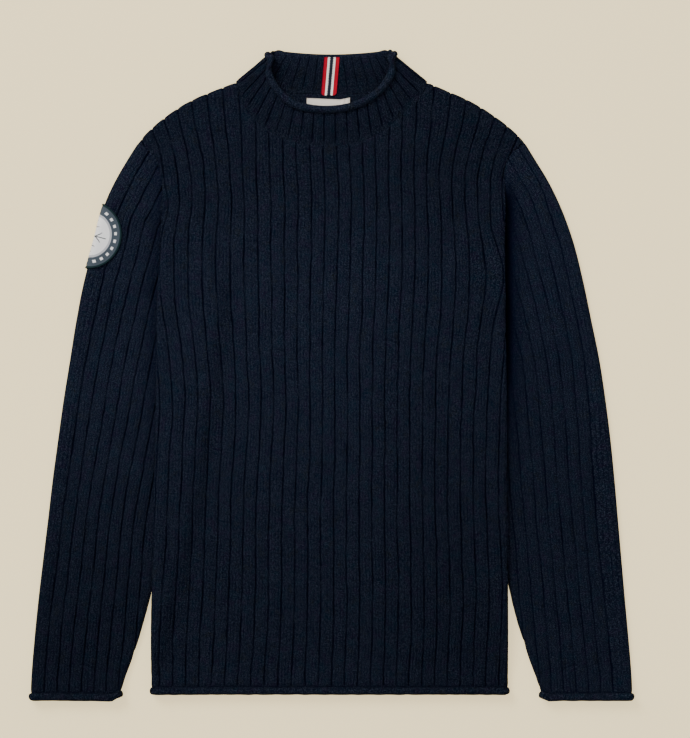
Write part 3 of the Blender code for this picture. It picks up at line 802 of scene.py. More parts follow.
@dataclass(frozen=True)
class BadgeRise:
    """The sleeve and the body over it rise where the badge's lower half lies under them."""

    height: float = BADGE_HEIGHT
    rise: float = BADGE_WALL + BADGE_GAP + 0.3
    reach: float = 24.0
    body_fade: float = 80.0
    sleeve_fade: float = 34.0

    def lift(self, places: Array, fade: float) -> Array:
        """How much the cloth rises.

        Args:
            places: Plan points.
            fade: Length over which the rise comes down again.

        Returns:
            The rise at each point.
        """
        falling = [(-row[0], row[1]) for row in SLEEVE_OUTER]
        centre = np.array([np.interp(-self.height, *zip(*falling)), self.height])
        distance = np.linalg.norm(places - centre, axis=-1)
        return self.rise * (1 - ease((distance - BADGE_RADIUS - self.reach) / fade))


BADGE_RISE = BadgeRise()


def body_lift(places: Array) -> Array:
    """How high the body rises over the sleeves tucked under its sides.

    Args:
        places: Plan points.

    Returns:
        The rise at each point.
    """
    lift = np.zeros(places.shape[:-1])
    for side in Side:
        fold = inner_fold_path(side)
        line = np.vstack([np.array(armhole_points(side)[0]), fold])
        order = np.argsort(line[:, 1])
        edge = np.interp(places[..., 1], line[order, 1], line[order, 0])
        sign = np.where((places[..., 0] - edge) * side.value > 0, 1.0, -1.0)
        past, past_fold = sign * distance_to(places, line), sign * distance_to(places, fold)
        ramp, bulge = (
            ease((reach - RAMP_START) / (RAMP_END - RAMP_START)) for reach in (past, past_fold)
        )
        bulge = bulge * (1 - ease((past_fold - BULGE_END[0]) / BULGE_END[1]))
        badge = BADGE_RISE.lift(places, BADGE_RISE.body_fade) if side is Side.RIGHT else 0.0
        lift = np.maximum(lift, (SLEEVE_LIFT + badge) * ramp + FOLD_LIFT * bulge)
    bottom, top = LIFT_END
    return lift * ease((top - places[..., 1]) / (top - bottom))


def edge_rise(distance: Array) -> Array:
    """Rise of both layers toward a rolled edge, because the back roll lies under them."""
    return ROLL_RISE * (1 - ease(distance / RISE_LENGTH))


# ---- the body ----


@dataclass
class BodyPanel:
    """The front or the back of the body, from the rolled hem to shoulders and neck seam."""

    layer: Layer
    neck: Table
    knit: RibKnit = field(default_factory=RibKnit)
    split: float = 190.0
    reach: float = 15.6
    row_step: float = 4.0
    edge_share: float = 0.86
    edge_step: float = 1.6
    upper_length: float = 145.0
    highest: float = 345.0
    right_shoulder: float = 1.7
    hills: Pair = (0.35, 0.35)
    hill_span: Pair = (-0.15, 1.2)
    hill_length: float = 90.0
    hill_stretch: float = 0.45
    hill_top: float = 337.0
    hill_fade: float = 60.0
    creases: tuple[Crease, ...] = ()
    strays: tuple[Stray, ...] = (
        Stray(12.2, 1.3, 115.0, 30.0, 8.4),
        Stray(12.2, 1.0, 172.0, 18.0, -2.6),
        Stray(-13.0, 0.6, 190.0, 22.0, 2.6),
    )
    seed: int = 100

    @staticmethod
    def side_closing(height: Array) -> Array:
        """Share of the side fold that is closed: it opens where the sleeve joins."""
        start, length = SIDE_OPENS
        return 1 - ease((height - start) / length)

    @staticmethod
    def rib_lines_at(height: Array) -> Array:
        """x of the five tabled rib lines at each height, in a new first axis."""
        return np.stack([smooth_column(RIB_LINES, height, k + 1) for k in range(5)])

    @staticmethod
    def beside(lines: Array, part: Array) -> tuple[Array, Array]:
        """x of the tabled lines on both sides of each place, which lies in a part from 0 to 3."""
        return tuple(np.take_along_axis(lines, part[None] + k, 0)[0] for k in (0, 1))

    def rib_to_across(self, rib: Array, height: Array) -> Array:
        """x of a rib coordinate.

        Args:
            rib: Rib coordinates.
            height: Heights, of the same shape.

        Returns:
            x at each place.
        """
        part = np.clip(np.floor((rib - RIB_FIRST) / RIBS_BETWEEN), 0, 3).astype(int)
        low, high = self.beside(self.rib_lines_at(height), part)
        return low + (high - low) * (rib - (part * RIBS_BETWEEN + RIB_FIRST)) / RIBS_BETWEEN

    def across_to_rib(self, across: Array, height: Array) -> tuple[Array, Array]:
        """Rib coordinate of an x, and the ribs' pitch there.

        Args:
            across: x of the places.
            height: Their heights.

        Returns:
            The rib coordinates and the pitch in millimetres.
        """
        lines = self.rib_lines_at(height)
        part = sum((across > lines[k]).astype(int) for k in (1, 2, 3))
        low, high = self.beside(lines, part)
        wide = high - low
        rib = part * RIBS_BETWEEN + RIB_FIRST + RIBS_BETWEEN * (across - low) / wide
        return rib, wide / RIBS_BETWEEN

    def side_path(self, side: Side) -> tuple[Array, Array]:
        """Expanded edge of a side, from below the hem to the shoulder tip.

        Args:
            side: Which side.

        Returns:
            Points of the edge, and for each its outward normal and its closing share.
        """
        heights = np.linspace(*SIDE_SPAN, 120)
        lower = np.stack([smooth_column(BODY_SIDE, heights, side.column), heights], -1)
        upper = smooth_path(np.array(armhole_points(side)), 3.0)[1:]
        path = np.vstack([lower, upper])
        closing = self.side_closing(path[:, 1])
        normals = path_normals(path) * side.value
        shift = closing * (FOLD_SPARE - FOLD_START - WALL / 2) - (1 - closing) * SEAM_HALF
        path = path + shift[:, None] * normals
        return path, np.column_stack([normals, closing])

    def shoulder_path(self, side: Side) -> tuple[Array, Array]:
        """Expanded shoulder line from the tip to the neck.

        Args:
            side: Which side.

        Returns:
            Points of the line, and for each its outward normal and its closing share.
        """
        points = np.array(SHOULDER) * (side.value, 1)
        path = smooth_path(points, 3.0)
        normals = -path_normals(path) * -side.value
        normals = normals * np.sign(normals[:, 1:2])
        closing = np.ones(len(path))
        hump = np.sin(np.linspace(0, math.pi, len(path)))
        fuller = self.right_shoulder * (side is Side.RIGHT) * hump
        path = path + (FOLD_SPARE - FOLD_START - WALL / 2 + fuller[:, None]) * normals
        return path, np.column_stack([normals, closing])

    def top_line(self) -> tuple[Array, Array]:
        """The expanded upper outline as y over x.

        Returns:
            x in rising order, and y.
        """
        left = self.shoulder_path(Side.LEFT)[0]
        right = self.shoulder_path(Side.RIGHT)[0]
        seam = smooth_path(np.array(self.neck), 3.0)
        normals = path_normals(seam)
        normals = normals * -np.sign(normals[:, 1:2] + 1e-9)
        seam = (seam + SEAM_HALF * normals)[2:-2]
        line = np.vstack([right, seam, left[::-1]])
        line = line[np.argsort(line[:, 0])]
        return line[:, 0], line[:, 1]

    def stray(self, ribs: Array, height: Array) -> Array:
        """How far each column lies beside the smooth run of its rib.

        Args:
            ribs: Rib coordinate of each column.
            height: Heights, columns in the last axis.

        Returns:
            The sideways shift in millimetres.
        """
        ribs = np.broadcast_to(ribs, height.shape)
        swing = sum(stray.at(ribs, height) for stray in self.strays)
        return self.knit.wandering(ribs, height, self.seed) + swing

    def plan(self) -> tuple[Array, Array]:
        """The panel's places on the unfolded cloth, rows from the hem up.

        Returns:
            Plan points, and how far each lies beside the smooth run of its rib.
        """
        ribs = self.knit.columns(-self.reach, self.reach)
        sides = {side: self.side_path(side)[0] for side in Side}
        top_x, top_y = self.top_line()

        def across(height: Array) -> Array:
            """x of every column at heights, kept between the edges."""
            height = np.broadcast_to(height, np.broadcast(height, ribs).shape)
            low = np.interp(height, sides[Side.RIGHT][:, 1], sides[Side.RIGHT][:, 0])
            high = np.interp(height, sides[Side.LEFT][:, 1], sides[Side.LEFT][:, 0])
            x = self.rib_to_across(np.broadcast_to(ribs, height.shape), height)
            return np.clip(x + self.stray(ribs, height), low, high)

        def below_top(height: Array) -> Array:
            """Whether each column is still on the panel at its height."""
            return np.interp(across(height[None, :])[0], top_x, top_y) > height

        lower = spread((
            (HEM_START, HEM_START + ROLL_ROWS, ROLL_ROW_STEP),
            (HEM_START + ROLL_ROWS, self.split, self.row_step),
        ))
        low_rows = np.repeat(lower[:, None], len(ribs), axis=1)
        lowest, highest = np.full(len(ribs), self.split), np.full(len(ribs), self.highest)
        top = halve(below_top, lowest, highest, 26)
        share = spread((
            (0.0, self.edge_share, self.row_step / self.upper_length),
            (self.edge_share, 1.0, self.edge_step / self.upper_length),
        ))[1:]
        high_rows = self.split + share[:, None] * (top - self.split)[None, :]
        heights = np.vstack([low_rows, high_rows])
        return np.stack([across(heights), heights], -1), self.stray(ribs, heights)

    def surface(self) -> ClothGrid:
        """The panel's cloth.

        Returns:
            Its grid, the hem's rolled rows first.
        """
        places, stray = self.plan()
        face, barely_closed = float(self.layer.value), 0.02
        rib, pitch = self.across_to_rib(places[..., 0] - stray, places[..., 1])
        shift = np.zeros(places.shape)
        drop = np.zeros(places.shape[:-1])
        swell = np.zeros(places.shape[:-1])
        tilt = np.zeros(places.shape)
        edges = [make(side) for make in (self.side_path, self.shoulder_path) for side in Side]
        for path, carried in edges:
            distance, values = nearest_on_path(places, path, carried)
            normal, closing = unit(values[..., :2]), values[..., 2]
            radius = np.maximum(FOLD_R * closing, 1e-6)
            spare = radius * (math.pi / 2 - 1)
            angle = np.clip((distance + FOLD_START) / radius, 0, math.pi / 2)
            in_bend = angle < math.pi / 2
            bent = np.where(in_bend, radius * (1 - np.cos(angle)), distance - spare)
            amount = np.where(in_bend, (distance - spare) - bent, 0.0)
            shift += amount[..., None] * normal
            drop += radius * (1 - np.sin(angle))
            swell = np.maximum(swell, closing * (1 - ease((distance - SWELL_FLAT) / SWELL_FADE)))
            tilt += normal * np.cos(angle)[..., None] * (closing > barely_closed)[..., None]
        plan = places + shift
        start = plan[0, :, 1].max()
        lift = np.maximum(body_lift(plan), edge_rise(plan[..., 1] - start))
        if self.layer is Layer.FRONT:
            z = MID_HEIGHT + PITCH / 2 + SWELL * swell + lift - drop
            z = z + self.unevenness(plan)
        else:
            z = MID_HEIGHT - PITCH / 2 + lift + drop
        points = np.concatenate([plan, z[..., None]], -1)
        lean = np.linalg.norm(tilt, axis=-1, keepdims=True)
        tilt = np.where(lean > 1, tilt / np.maximum(lean, 1e-9), tilt)
        up = face * np.sqrt(np.maximum(0.0, 1 - np.sum(tilt * tilt, axis=-1)))
        normals = unit(np.concatenate([tilt, up[..., None]], -1))
        return self.ribbed(points, normals, rib, pitch)

    def unevenness(self, plan: Array) -> Array:
        """Soft hills and creases of the cloth.

        Args:
            plan: Plan points.

        Returns:
            The added height.
        """
        x, y = plan[..., 0], plan[..., 1]
        rough = ripple(x, self.hill_stretch * y, self.seed + SEED_HILLS, self.hill_length)
        hills = np.clip(self.hills[0] + self.hills[1] * rough, *self.hill_span)
        hills = hills * ease((self.hill_top - y) / self.hill_fade)
        return hills + sum(crease.lift(plan) for crease in self.creases)

    def ribbed(self, points: Array, normals: Array, rib: Array, pitch: Array) -> ClothGrid:
        """Add the rolled hem and the ribs.

        Args:
            points: The panel's middle surface.
            normals: Its outward normals.
            rib: Rib coordinates.
            pitch: Rib pitch.

        Returns:
            The whole grid.
        """
        full = ROLL_FRONT if self.layer is Layer.FRONT else ROLL_BACK
        hem = points[0, :, 1].max()
        points, normals, rib, pitch, course = with_roll(
            points, normals, rib, pitch, points[..., 1], full, self.seed + SEED_ROLL
        )
        relief, sunk_and_shade, lined = self.knit.relief(rib, pitch, course, self.seed)
        above, at_neck, neck_fade = course - hem, 1.0, 5.0
        strength = ease((above - RIBS_BEGIN[0]) / RIBS_BEGIN[1])
        strength = strength * ease((self.neck_distance(points) + at_neck) / neck_fade)
        crease = roll_crease(above)
        relief = relief * strength - SEAM_DEPTH * self.seam_line(points) - CREASE_DEPTH * crease
        # painted shade in the rib lines and in the hem roll's crease
        sunk_and_shade = np.maximum(sunk_and_shade * strength, CREASE_SHADE * crease)
        inner = -INNER_SHARE * sunk_and_shade
        return ClothGrid(
            points, normals, rib, course, relief, sunk_and_shade, lined * strength, inner_relief=inner
        )

    def neck_distance(self, points: Array) -> Array:
        """Distance of each place from the neck seam."""
        return distance_to(points[..., :2], smooth_path(np.array(self.neck), SEAM_STEP))

    def seam_line(self, points: Array) -> Array:
        """How near each place lies to the neck and armhole seams, from 0 to 1."""
        neck_share, neck_width = 0.65, 2.8
        close = neck_share * bell(self.neck_distance(points), neck_width)
        for side in Side:
            close = np.maximum(close, armhole_line(side, points))
        return close


# ---- sleeves ----


@dataclass
class Sleeve:
    """A sleeve: a flat tube from the rolled cuff to its mouth at the armhole."""

    side: Side
    knit: RibKnit = field(default_factory=RibKnit)
    reach: float = 11.6
    row_step: float = 4.0
    split: float = 400.0
    edge_share: float = 0.93
    edge_step: float = 0.008
    upper_length: float = 230.0
    length_span: Pair = (300.0, 705.0)
    widest: float = 260.0
    tuck: float = 0.9
    cuff_curl: Pair = (4.2, 10.0)
    cuff_curl_up: float = 26.0
    under_mouth: Pair = (17.5, 12.0)
    seam_swell: float = 4.1
    swell_width: float = 9.0
    rise_span: Pair = (160.0, 230.0)
    rise_fade: Pair = (40.0, 9.0)
    # painted shadow in the fold beside the body's edge: depth and top, width, foot and fades
    shade: Pair = (0.75, 268.0)
    shade_width: float = 14.0
    shade_foot: float = -190.0
    shade_fade: Pair = (260.0, 50.0)
    fold_flat: float = 0.3
    seed: int = 300
    outer: Array = field(init=False)
    inner: Array = field(init=False)

    def __post_init__(self) -> None:
        """Work out the middle lines of the two folds."""
        rows = sorted(SLEEVE_OUTER)
        path = smooth_path(np.array([(row[self.side.column], row[0]) for row in rows]), 4.0)
        away = path_normals(path) * self.side.value
        self.outer = path - WALL / 2 * away
        self.outer = self.outer[self.outer[:, 1] > CUFF_START]
        cuff = np.interp(CUFF_START, path[:, 1], path[:, 0]) - self.side.value * WALL / 2
        self.outer = np.vstack([[[cuff, CUFF_START]], self.outer])
        fold = inner_fold_path(self.side)[::-1]
        beyond = [fold[-1, 0] - 3.0 * self.side.value, 330.0]  # the hidden fold runs on up here
        fold = smooth_path(np.vstack([fold, [beyond]]), 4.0)
        toward = -path_normals(fold) * self.side.value
        self.inner = fold - WALL / 2 * toward

    def spine(self, length: Array) -> tuple[Array, Array]:
        """Points of the outer fold and the way in from them.

        Args:
            length: Distances up from the cuff.

        Returns:
            The points, and unit vectors toward the inner fold.
        """
        path = self.outer
        inward = -path_normals(path) * self.side.value
        run = run_along(path)
        normal = np.stack([np.interp(length, run, inward[:, k]) for k in (0, 1)], -1)
        return on_path(path, length), unit(normal)

    def width(self, length: Array) -> Array:
        """Distance from fold to fold, between the middle lines of the cloth.

        Args:
            length: Distances up from the cuff.

        Returns:
            The widths.
        """
        base, inward = self.spine(length)
        order = np.argsort(self.inner[:, 1])

        def short(width: Array) -> Array:
            """Whether a way in does not reach the inner fold."""
            place = base + width[..., None] * inward
            edge = np.interp(place[..., 1], self.inner[order, 1], self.inner[order, 0])
            return (place[..., 0] - edge) * self.side.value > 0

        shape = base.shape[:-1]
        return halve(short, np.zeros(shape), np.full(shape, self.widest), 28)

    @staticmethod
    def half_round(width: Array) -> Array:
        """Distance round the flat tube from one fold to the other."""
        return width - 2 * FOLD_R + math.pi * FOLD_R

    def across_and_height(self, around: Array, width: Array) -> tuple[Array, Array, Array]:
        """Section of the flattened tube.

        Args:
            around: Distance round from the outer fold, positive over the front.
            width: Distance from fold to fold.

        Returns:
            Way in from the outer fold, height over the floor, and the slope angle of the cloth:
            nought on the front, a quarter turn at the folds.
        """
        half = self.half_round(width)
        t = np.minimum(np.abs(around), half)
        quarter = FOLD_R * math.pi / 2
        from_outer = np.clip(t / FOLD_R, 0, math.pi / 2)
        from_inner = np.clip((half - t) / FOLD_R, 0, math.pi / 2)
        near_outer = t < quarter
        near_inner = (half - t) < quarter
        across = np.where(near_outer, FOLD_R * (1 - np.cos(from_outer)), FOLD_R + t - quarter)
        across = np.where(near_inner, width - FOLD_R * (1 - np.cos(from_inner)), across)
        rise = np.where(near_inner, np.sin(from_inner), 1.0)
        rise = np.where(near_outer, np.sin(from_outer), rise)
        edge = np.minimum(t, half - t)
        front = around >= 0
        flat = WALL / 2 + PITCH + SWELL * (1 - ease((edge - quarter) / SWELL_FADE))
        upper = FOLD_CENTRE + (flat - FOLD_CENTRE) * rise
        lower = FOLD_CENTRE - FOLD_R * rise
        lean = np.where(near_outer, math.pi / 2 - from_outer, 0.0)
        lean = np.where(near_inner, from_inner - math.pi / 2, lean)
        return across, np.where(front, upper, lower), lean

    def place(self, length: Array, around: Array) -> tuple[Array, Array]:
        """Points and outward normals of the sleeve's middle surface.

        Args:
            length: Distances up from the cuff.
            around: Distances round from the outer fold, positive over the front.

        Returns:
            The points, and the normals.
        """
        base, inward = self.spine(length)
        across, height, lean = self.across_and_height(around, self.width(length))
        plan = base + across[..., None] * inward
        rise = edge_rise(plan[..., 1] - CUFF_START)
        if self.side is Side.RIGHT:
            rise = rise + BADGE_RISE.lift(plan, BADGE_RISE.sleeve_fade)
        face = np.where(around >= 0, 1.0, -1.0)
        points = np.concatenate([plan, (height + rise)[..., None]], -1)
        sideways, up = -np.sin(lean)[..., None] * inward, (face * np.cos(lean))[..., None]
        return points, unit(np.concatenate([sideways, up], -1))

    def mouth_edge(self, height: Array) -> Array:
        """How far out the mouth's seam lies at each height."""
        seam = [(abs(x), y) for x, y in armhole_points(self.side)]
        foot = underarm_point(self.side)
        under = (seam[0][0] - self.under_mouth[0], seam[0][1] - self.under_mouth[1])
        rows = np.array([(0.0, foot[1] - 0.01), (abs(foot[0]), foot[1]), under] + seam)
        rows = np.vstack([rows[:3], smooth_path(rows[3:], 3.0)])
        return np.interp(height, rows[:, 1], rows[:, 0], right=400.0)

    def seam_rise(self, points: Array) -> Array:
        """How far the upper layer swells beside the seam's low end, up to the body over it.

        Args:
            points: Places on the sleeve.

        Returns:
            The rise at each place.
        """
        heights = points[..., 1]
        edge = np.abs(smooth_column(BODY_SIDE, heights, self.side.column))
        beyond = np.maximum(np.abs(points[..., 0]) - edge, 0.0)
        (low, high), (low_fade, high_fade) = self.rise_span, self.rise_fade
        span = ease((high - heights) / high_fade) * ease((heights - low) / low_fade)
        return self.seam_swell * span * bell(beyond, self.swell_width)

    def first_line(self, height: Array) -> tuple[Array, Array]:
        """Way round to the first rib line, and the pitch, at heights."""
        table = SLEEVE_RIBS_RIGHT if self.side is Side.RIGHT else SLEEVE_RIBS_LEFT
        round_fold = 0.2  # the way round is this much longer than the way in
        return smooth_column(table, height, 1) + round_fold, smooth_column(table, height, 2)

    def stray(self, ribs: Array, length: Array) -> Array:
        """How far each rib column lies beside the smooth run of its rib."""
        at_fold = 0.7  # columns nearer to the outer fold run straight
        return np.where(np.abs(ribs) > at_fold, self.knit.wandering(ribs, length, self.seed), 0.0)

    def surface(self) -> ClothGrid:
        """The sleeve's cloth.

        Returns:
            Its grid, the cuff's rolled rows first.
        """
        ribs = self.knit.columns(-self.reach, self.reach)
        front = ribs >= 0

        def around_at(length: Array) -> Array:
            """Way round of every column at distances up the outer fold."""
            height = self.spine(length)[0][..., 1]
            first, pitch = self.first_line(height)
            signed = np.broadcast_to(ribs, length.shape)
            way = first + (np.abs(signed) - 1.0) * pitch
            near = first * np.abs(signed)
            way = np.where(np.abs(signed) < 1, near, way)
            way = way + self.stray(signed, length)
            return np.sign(signed) * np.minimum(way, self.half_round(self.width(length)))

        def outside_mouth(length: Array) -> Array:
            """Whether each column has not yet reached the mouth's seam."""
            points = self.place(length, around_at(length[None])[0])[0]
            return np.abs(points[:, 0]) > self.mouth_edge(points[:, 1]) - self.tuck

        shortest, longest = (np.full(len(ribs), end) for end in self.length_span)
        mouth = halve(outside_mouth, shortest, longest, 24)
        lower = spread(((0.0, ROLL_ROWS, ROLL_ROW_STEP), (ROLL_ROWS, self.split, self.row_step)))
        share = spread((
            (0.0, self.edge_share, self.row_step / self.upper_length),
            (self.edge_share, 1.0, self.edge_step),
        ))[1:]
        upper = self.split + share[:, None] * (mouth - self.split)[None]
        length = np.vstack([np.repeat(lower[:, None], len(ribs), 1), upper])
        around = around_at(length)
        around = np.where(front, np.maximum(around, 0), np.minimum(around, -1e-6))
        points, normals = self.place(length, around)
        points[..., 2] += self.seam_rise(points) * np.clip(normals[..., 2], 0.0, 1.0)
        first, pitch = self.first_line(self.spine(length)[0][..., 1])
        stray = self.stray(np.broadcast_to(ribs, length.shape), length)
        size = np.maximum(np.abs(around) - stray, 0.0)
        rib = np.where(size < first, size / first, 1.0 + (size - first) / pitch)
        pitch = np.where(size < first, first, pitch)
        rib = np.where(around < 0, -rib, rib)
        return self.ribbed(points, normals, rib, pitch, length)

    def ribbed(
        self, points: Array, normals: Array, rib: Array, pitch: Array, length: Array
    ) -> ClothGrid:
        """Add the rolled cuff and the ribs.

        Args:
            points: The sleeve's middle surface.
            normals: Its outward normals.
            rib: Rib coordinates.
            pitch: Rib pitch.
            length: Distances up from the cuff.

        Returns:
            The whole grid.
        """
        full = np.where(toward_upright(normals[0])[:, 2] > 0, ROLL_FRONT, ROLL_BACK)
        inner_fold = np.abs(points[0, :, 0]).min()
        points, normals, rib, pitch, course = with_roll(
            points, normals, rib, pitch, length, full, self.seed + SEED_ROLL
        )
        curl, reach = self.cuff_curl
        from_fold = np.abs(np.abs(points[..., 0]) - inner_fold)
        up = 1 - ease(course / self.cuff_curl_up)
        points[..., 1] += curl * (1 - ease(from_fold / reach)) * up
        relief, sunk_and_shade, lined = self.knit.relief(rib, pitch, course, self.seed)
        off_fold = np.clip(np.abs(rib) / self.fold_flat, 0, 1)
        strength = ease((course - RIBS_BEGIN[0]) / RIBS_BEGIN[1])
        crease = roll_crease(course)
        seam = armhole_line(self.side, points)
        relief = relief * off_fold * strength - SEAM_DEPTH * seam - CREASE_DEPTH * crease
        # painted shade in the rib lines and in the cuff roll's crease
        sunk_and_shade = np.maximum(sunk_and_shade * off_fold * strength, CREASE_SHADE * crease)
        # painted shadow in the deep fold beside the body's edge
        sunk_and_shade = np.maximum(sunk_and_shade, self.fold_shade(points))
        lined = lined * strength * off_fold
        inner = -INNER_SHARE * sunk_and_shade
        return ClothGrid(
            points, normals, rib, course, relief, sunk_and_shade, lined, inner_relief=inner, joined=True
        )

    def fold_shade(self, points: Array) -> Array:
        """Painted shadow: how dark the cloth is painted in the deep fold beside the body's edge."""
        heights = points[..., 1]
        edge = np.abs(smooth_column(BODY_SIDE, heights, self.side.column))
        edge = np.where(heights > SIDE_SPAN[1], self.mouth_edge(heights), edge)
        beside = np.maximum(np.abs(points[..., 0]) - edge, 0.0)
        depth, top = self.shade
        low_fade, high_fade = self.shade_fade
        span = ease((top - heights) / high_fade) * ease((heights - self.shade_foot) / low_fade)
        return depth * span * bell(beside, self.shade_width)


# ---- the collar ----


@dataclass
class Collar:
    """The roll neck: a short tube from the neck seam to its rolled rim, flat on its back layer."""

    knit: RibKnit = field(
        default_factory=lambda: RibKnit(groove_depth=0.85, groove_width=0.9, wander=0.3)
    )
    front_ribs: float = 2.0
    middle_shift: float = 3.71
    back_pitch: float = 11.4
    tuck: float = 0.35
    seam_end_rise: float = 1.0
    rim_raise: float = 2.6
    rim_radius: Pair = (2.9, 0.75)
    rim_turn: float = ROLL_SWEEP - 20.0
    late_from: float = 0.25
    late_corner: int = 2
    fold_samples: int = 22
    height: float = 38.0
    roll_height: float = 14.0
    ribs_end: Pair = (35.0, 5.0)
    ribs_start: Pair = (1.0, 6.0)
    seam_depth: float = 0.45
    seam_width: float = 2.6
    inner_depth: float = 0.9
    # share of the painted shade in the lines that the collar's inner face gets
    inner_shade_share: float = 0.6
    radial_share: float = 0.6
    side_reach: float = 50.0
    back_lift: Pair = (1.5, 0.1)
    seed: int = 500
    low: Array = field(init=False)
    high: Array = field(init=False)
    late: Array = field(init=False)
    place: Array = field(init=False)
    length: float = field(init=False)
    rib_at: Array = field(init=False)

    def __post_init__(self) -> None:
        """Set out the ring of the neck seam and the ring of the rim."""
        seam_front, seam_back = (
            (line + self.tuck * path_normals(line))[1:-1]
            for line in (np.array(NECK_FRONT), np.array(NECK_BACK))
        )
        seam_height = np.full(FRONT_COUNT, WALL / 2 + PITCH)
        seam_height[[0, -1]] += self.seam_end_rise
        low_front = np.column_stack([seam_front, seam_height])
        low_back = np.column_stack([seam_back, np.full(BACK_COUNT, WALL / 2)])
        hump = np.sin(np.linspace(0, math.pi, FRONT_COUNT))
        raised = np.column_stack([np.zeros(FRONT_COUNT), self.rim_raise * hump])
        high_front = np.column_stack([np.array(RIM_FRONT) + raised, RIM_FRONT_HEIGHT])
        across = np.array(RIM_BACK_ACROSS)
        curve = RIM_BACK_CURVE * np.minimum(1, (across / RIM_BACK_REACH) ** 2)
        rim_back = np.column_stack([across, RIM_BACK_LINE + curve])
        middle_lift, side_lift = self.back_lift
        rim_back[:, 1] += middle_lift + side_lift * np.minimum(1, (across / self.side_reach) ** 2)
        high_back = np.column_stack([rim_back, np.full(BACK_COUNT, WALL / 2 + ROLL_RISE)])
        (low_right, high_right), (low_left, high_left) = (self.corner(side) for side in Side)
        self.low = np.vstack([low_front, low_left, low_back[::-1], low_right[::-1]])
        self.high = np.vstack([high_front, high_left, high_back[::-1], high_right[::-1]])
        back_start = FRONT_COUNT + CORNER_COUNT
        back_end = back_start + BACK_COUNT
        self.late = np.zeros(len(self.low))
        self.late[back_start - self.late_corner : back_end + self.late_corner] = 1.0
        middle = (self.low + self.high) / 2
        steps = np.linalg.norm(np.roll(middle, -1, axis=0) - middle, axis=1)
        self.place = np.concatenate([[0.0], np.cumsum(steps)])
        self.length = float(self.place[-1])
        self.set_ribs()

    def set_ribs(self) -> None:
        """Number the ribs round the ring, whole numbers at the lines."""
        numbers = self.front_ribs * (np.arange(FRONT_COUNT) - self.middle_shift)
        front, front_end = numbers[-1] - numbers[0], self.place[FRONT_COUNT - 1]
        rest = self.length - front_end
        rest_ribs = round(rest / self.back_pitch + front) - front
        beyond = numbers[-1] + rest_ribs * (self.place[FRONT_COUNT:] - front_end) / rest
        self.rib_at = np.concatenate([numbers, beyond])

    @staticmethod
    def corner(side: Side) -> tuple[Array, Array]:
        """The side fold's places at the seam and at the rim, front to back.

        Args:
            side: Which side.

        Returns:
            The low places and the high places.
        """
        sign = side.value
        foot = np.array(SEAM_CORNER) * (sign, 1)
        head = np.array(RIM_CORNER_RIGHT if side is Side.RIGHT else RIM_CORNER_LEFT)
        low = [
            np.append(foot + reach * np.array([-sign * over, -down]), z)
            for reach, (over, down), z in zip(CORNER_STATIONS, CORNER_FOOT, CORNER_SEAM_HEIGHTS)
        ]
        high = [
            np.append(head - reach * np.array(CORNER_HEAD) * (sign, 1), z)
            for reach, z in zip(CORNER_STATIONS, COLLAR_CORNER_HEIGHTS)
        ]
        return np.array(low), np.array(high)

    def around(self, values: Array, at: Array) -> Array:
        """Values of the ring's places read along a smooth closed curve.

        Args:
            values: One row for each place.
            at: Distances round the ring.

        Returns:
            One row for each distance.
        """
        values = np.asarray(values, float).reshape(len(self.low), -1)
        start = self.place[:-1]
        places = np.concatenate([start - self.length, start, start + self.length])
        rows = [
            smooth_column(tuple(zip(places, np.tile(values[:, k], 3))), at, 1)
            for k in range(values.shape[1])
        ]
        return np.stack(rows, -1)

    def surface(self) -> ClothGrid:
        """The collar's cloth.

        Returns:
            Its grid from the neck seam to the end of the rolled rim.
        """
        total_ribs = self.rib_at[-1] - self.rib_at[0]
        first = math.ceil(self.rib_at[0])
        ribs = self.knit.columns(first, first + total_ribs)
        wrapped = np.concatenate([self.rib_at[:-1], self.rib_at + total_ribs])
        places = np.concatenate([self.place[:-1], self.place + self.length])
        back_start = FRONT_COUNT + CORNER_COUNT
        back_end = back_start + BACK_COUNT
        tight = np.concatenate([
            np.interp(np.linspace(self.place[i], self.place[j], self.fold_samples), places, wrapped)
            for i, j in ((FRONT_COUNT - 1, back_start), (back_end - 1, len(self.low)))
        ])
        tight = np.where(tight < first, tight + total_ribs, tight)
        tight = np.where(tight > first + total_ribs, tight - total_ribs, tight)
        ribs = np.unique(np.round(np.concatenate([ribs, tight]), 2))
        at = np.interp(ribs, wrapped, places)
        low, high = self.around(self.low, at), self.around(self.high, at)
        late = np.clip(self.around(self.late, at)[:, 0], 0, 1)
        share = spread(((0.0, 0.1, 0.03), (0.1, 1.0, 0.07)))
        grid = low[None] + (high - low)[None] * share[:, None, None]
        slow = ease((share[:, None] - self.late_from) / (1.0 - self.late_from))
        late_height = low[None, :, 2] + (high - low)[None, :, 2] * slow
        grid[..., 2] += late[None] * (late_height - grid[..., 2])
        grid[:, -1] = grid[:, 0]
        wrapped_grid = np.concatenate([grid[:, -2:-1], grid, grid[:, 1:2]], axis=1)
        across = wrapped_grid[:, 2:] - wrapped_grid[:, :-2]
        up_tube = np.gradient(grid, axis=0)
        normals = unit(np.cross(across, up_tube))
        rim_normal = toward_upright(normals[-1])
        travel = self.rim_travel(at, unit(up_tube[-1]), rim_normal)
        radius, turn = self.rim_roll(at)
        rolled, rolled_normal = rolled_edge(
            grid[-1], rim_normal, travel, radius, turn, RIM_STEPS, radius
        )
        points = np.concatenate([grid, rolled])
        all_normals = np.concatenate([normals, rolled_normal])
        step = (np.arange(RIM_STEPS) + 1.0) / RIM_STEPS
        course = np.concatenate([share * self.height, self.height + self.roll_height * step])
        course = np.repeat(course[:, None], len(ribs), 1)
        rib = np.repeat(ribs[None], len(course), 0)
        pitch = np.full(rib.shape, COLLAR_PITCH)
        relief, sunk_and_shade, lined = self.knit.relief(rib, pitch, course, self.seed)
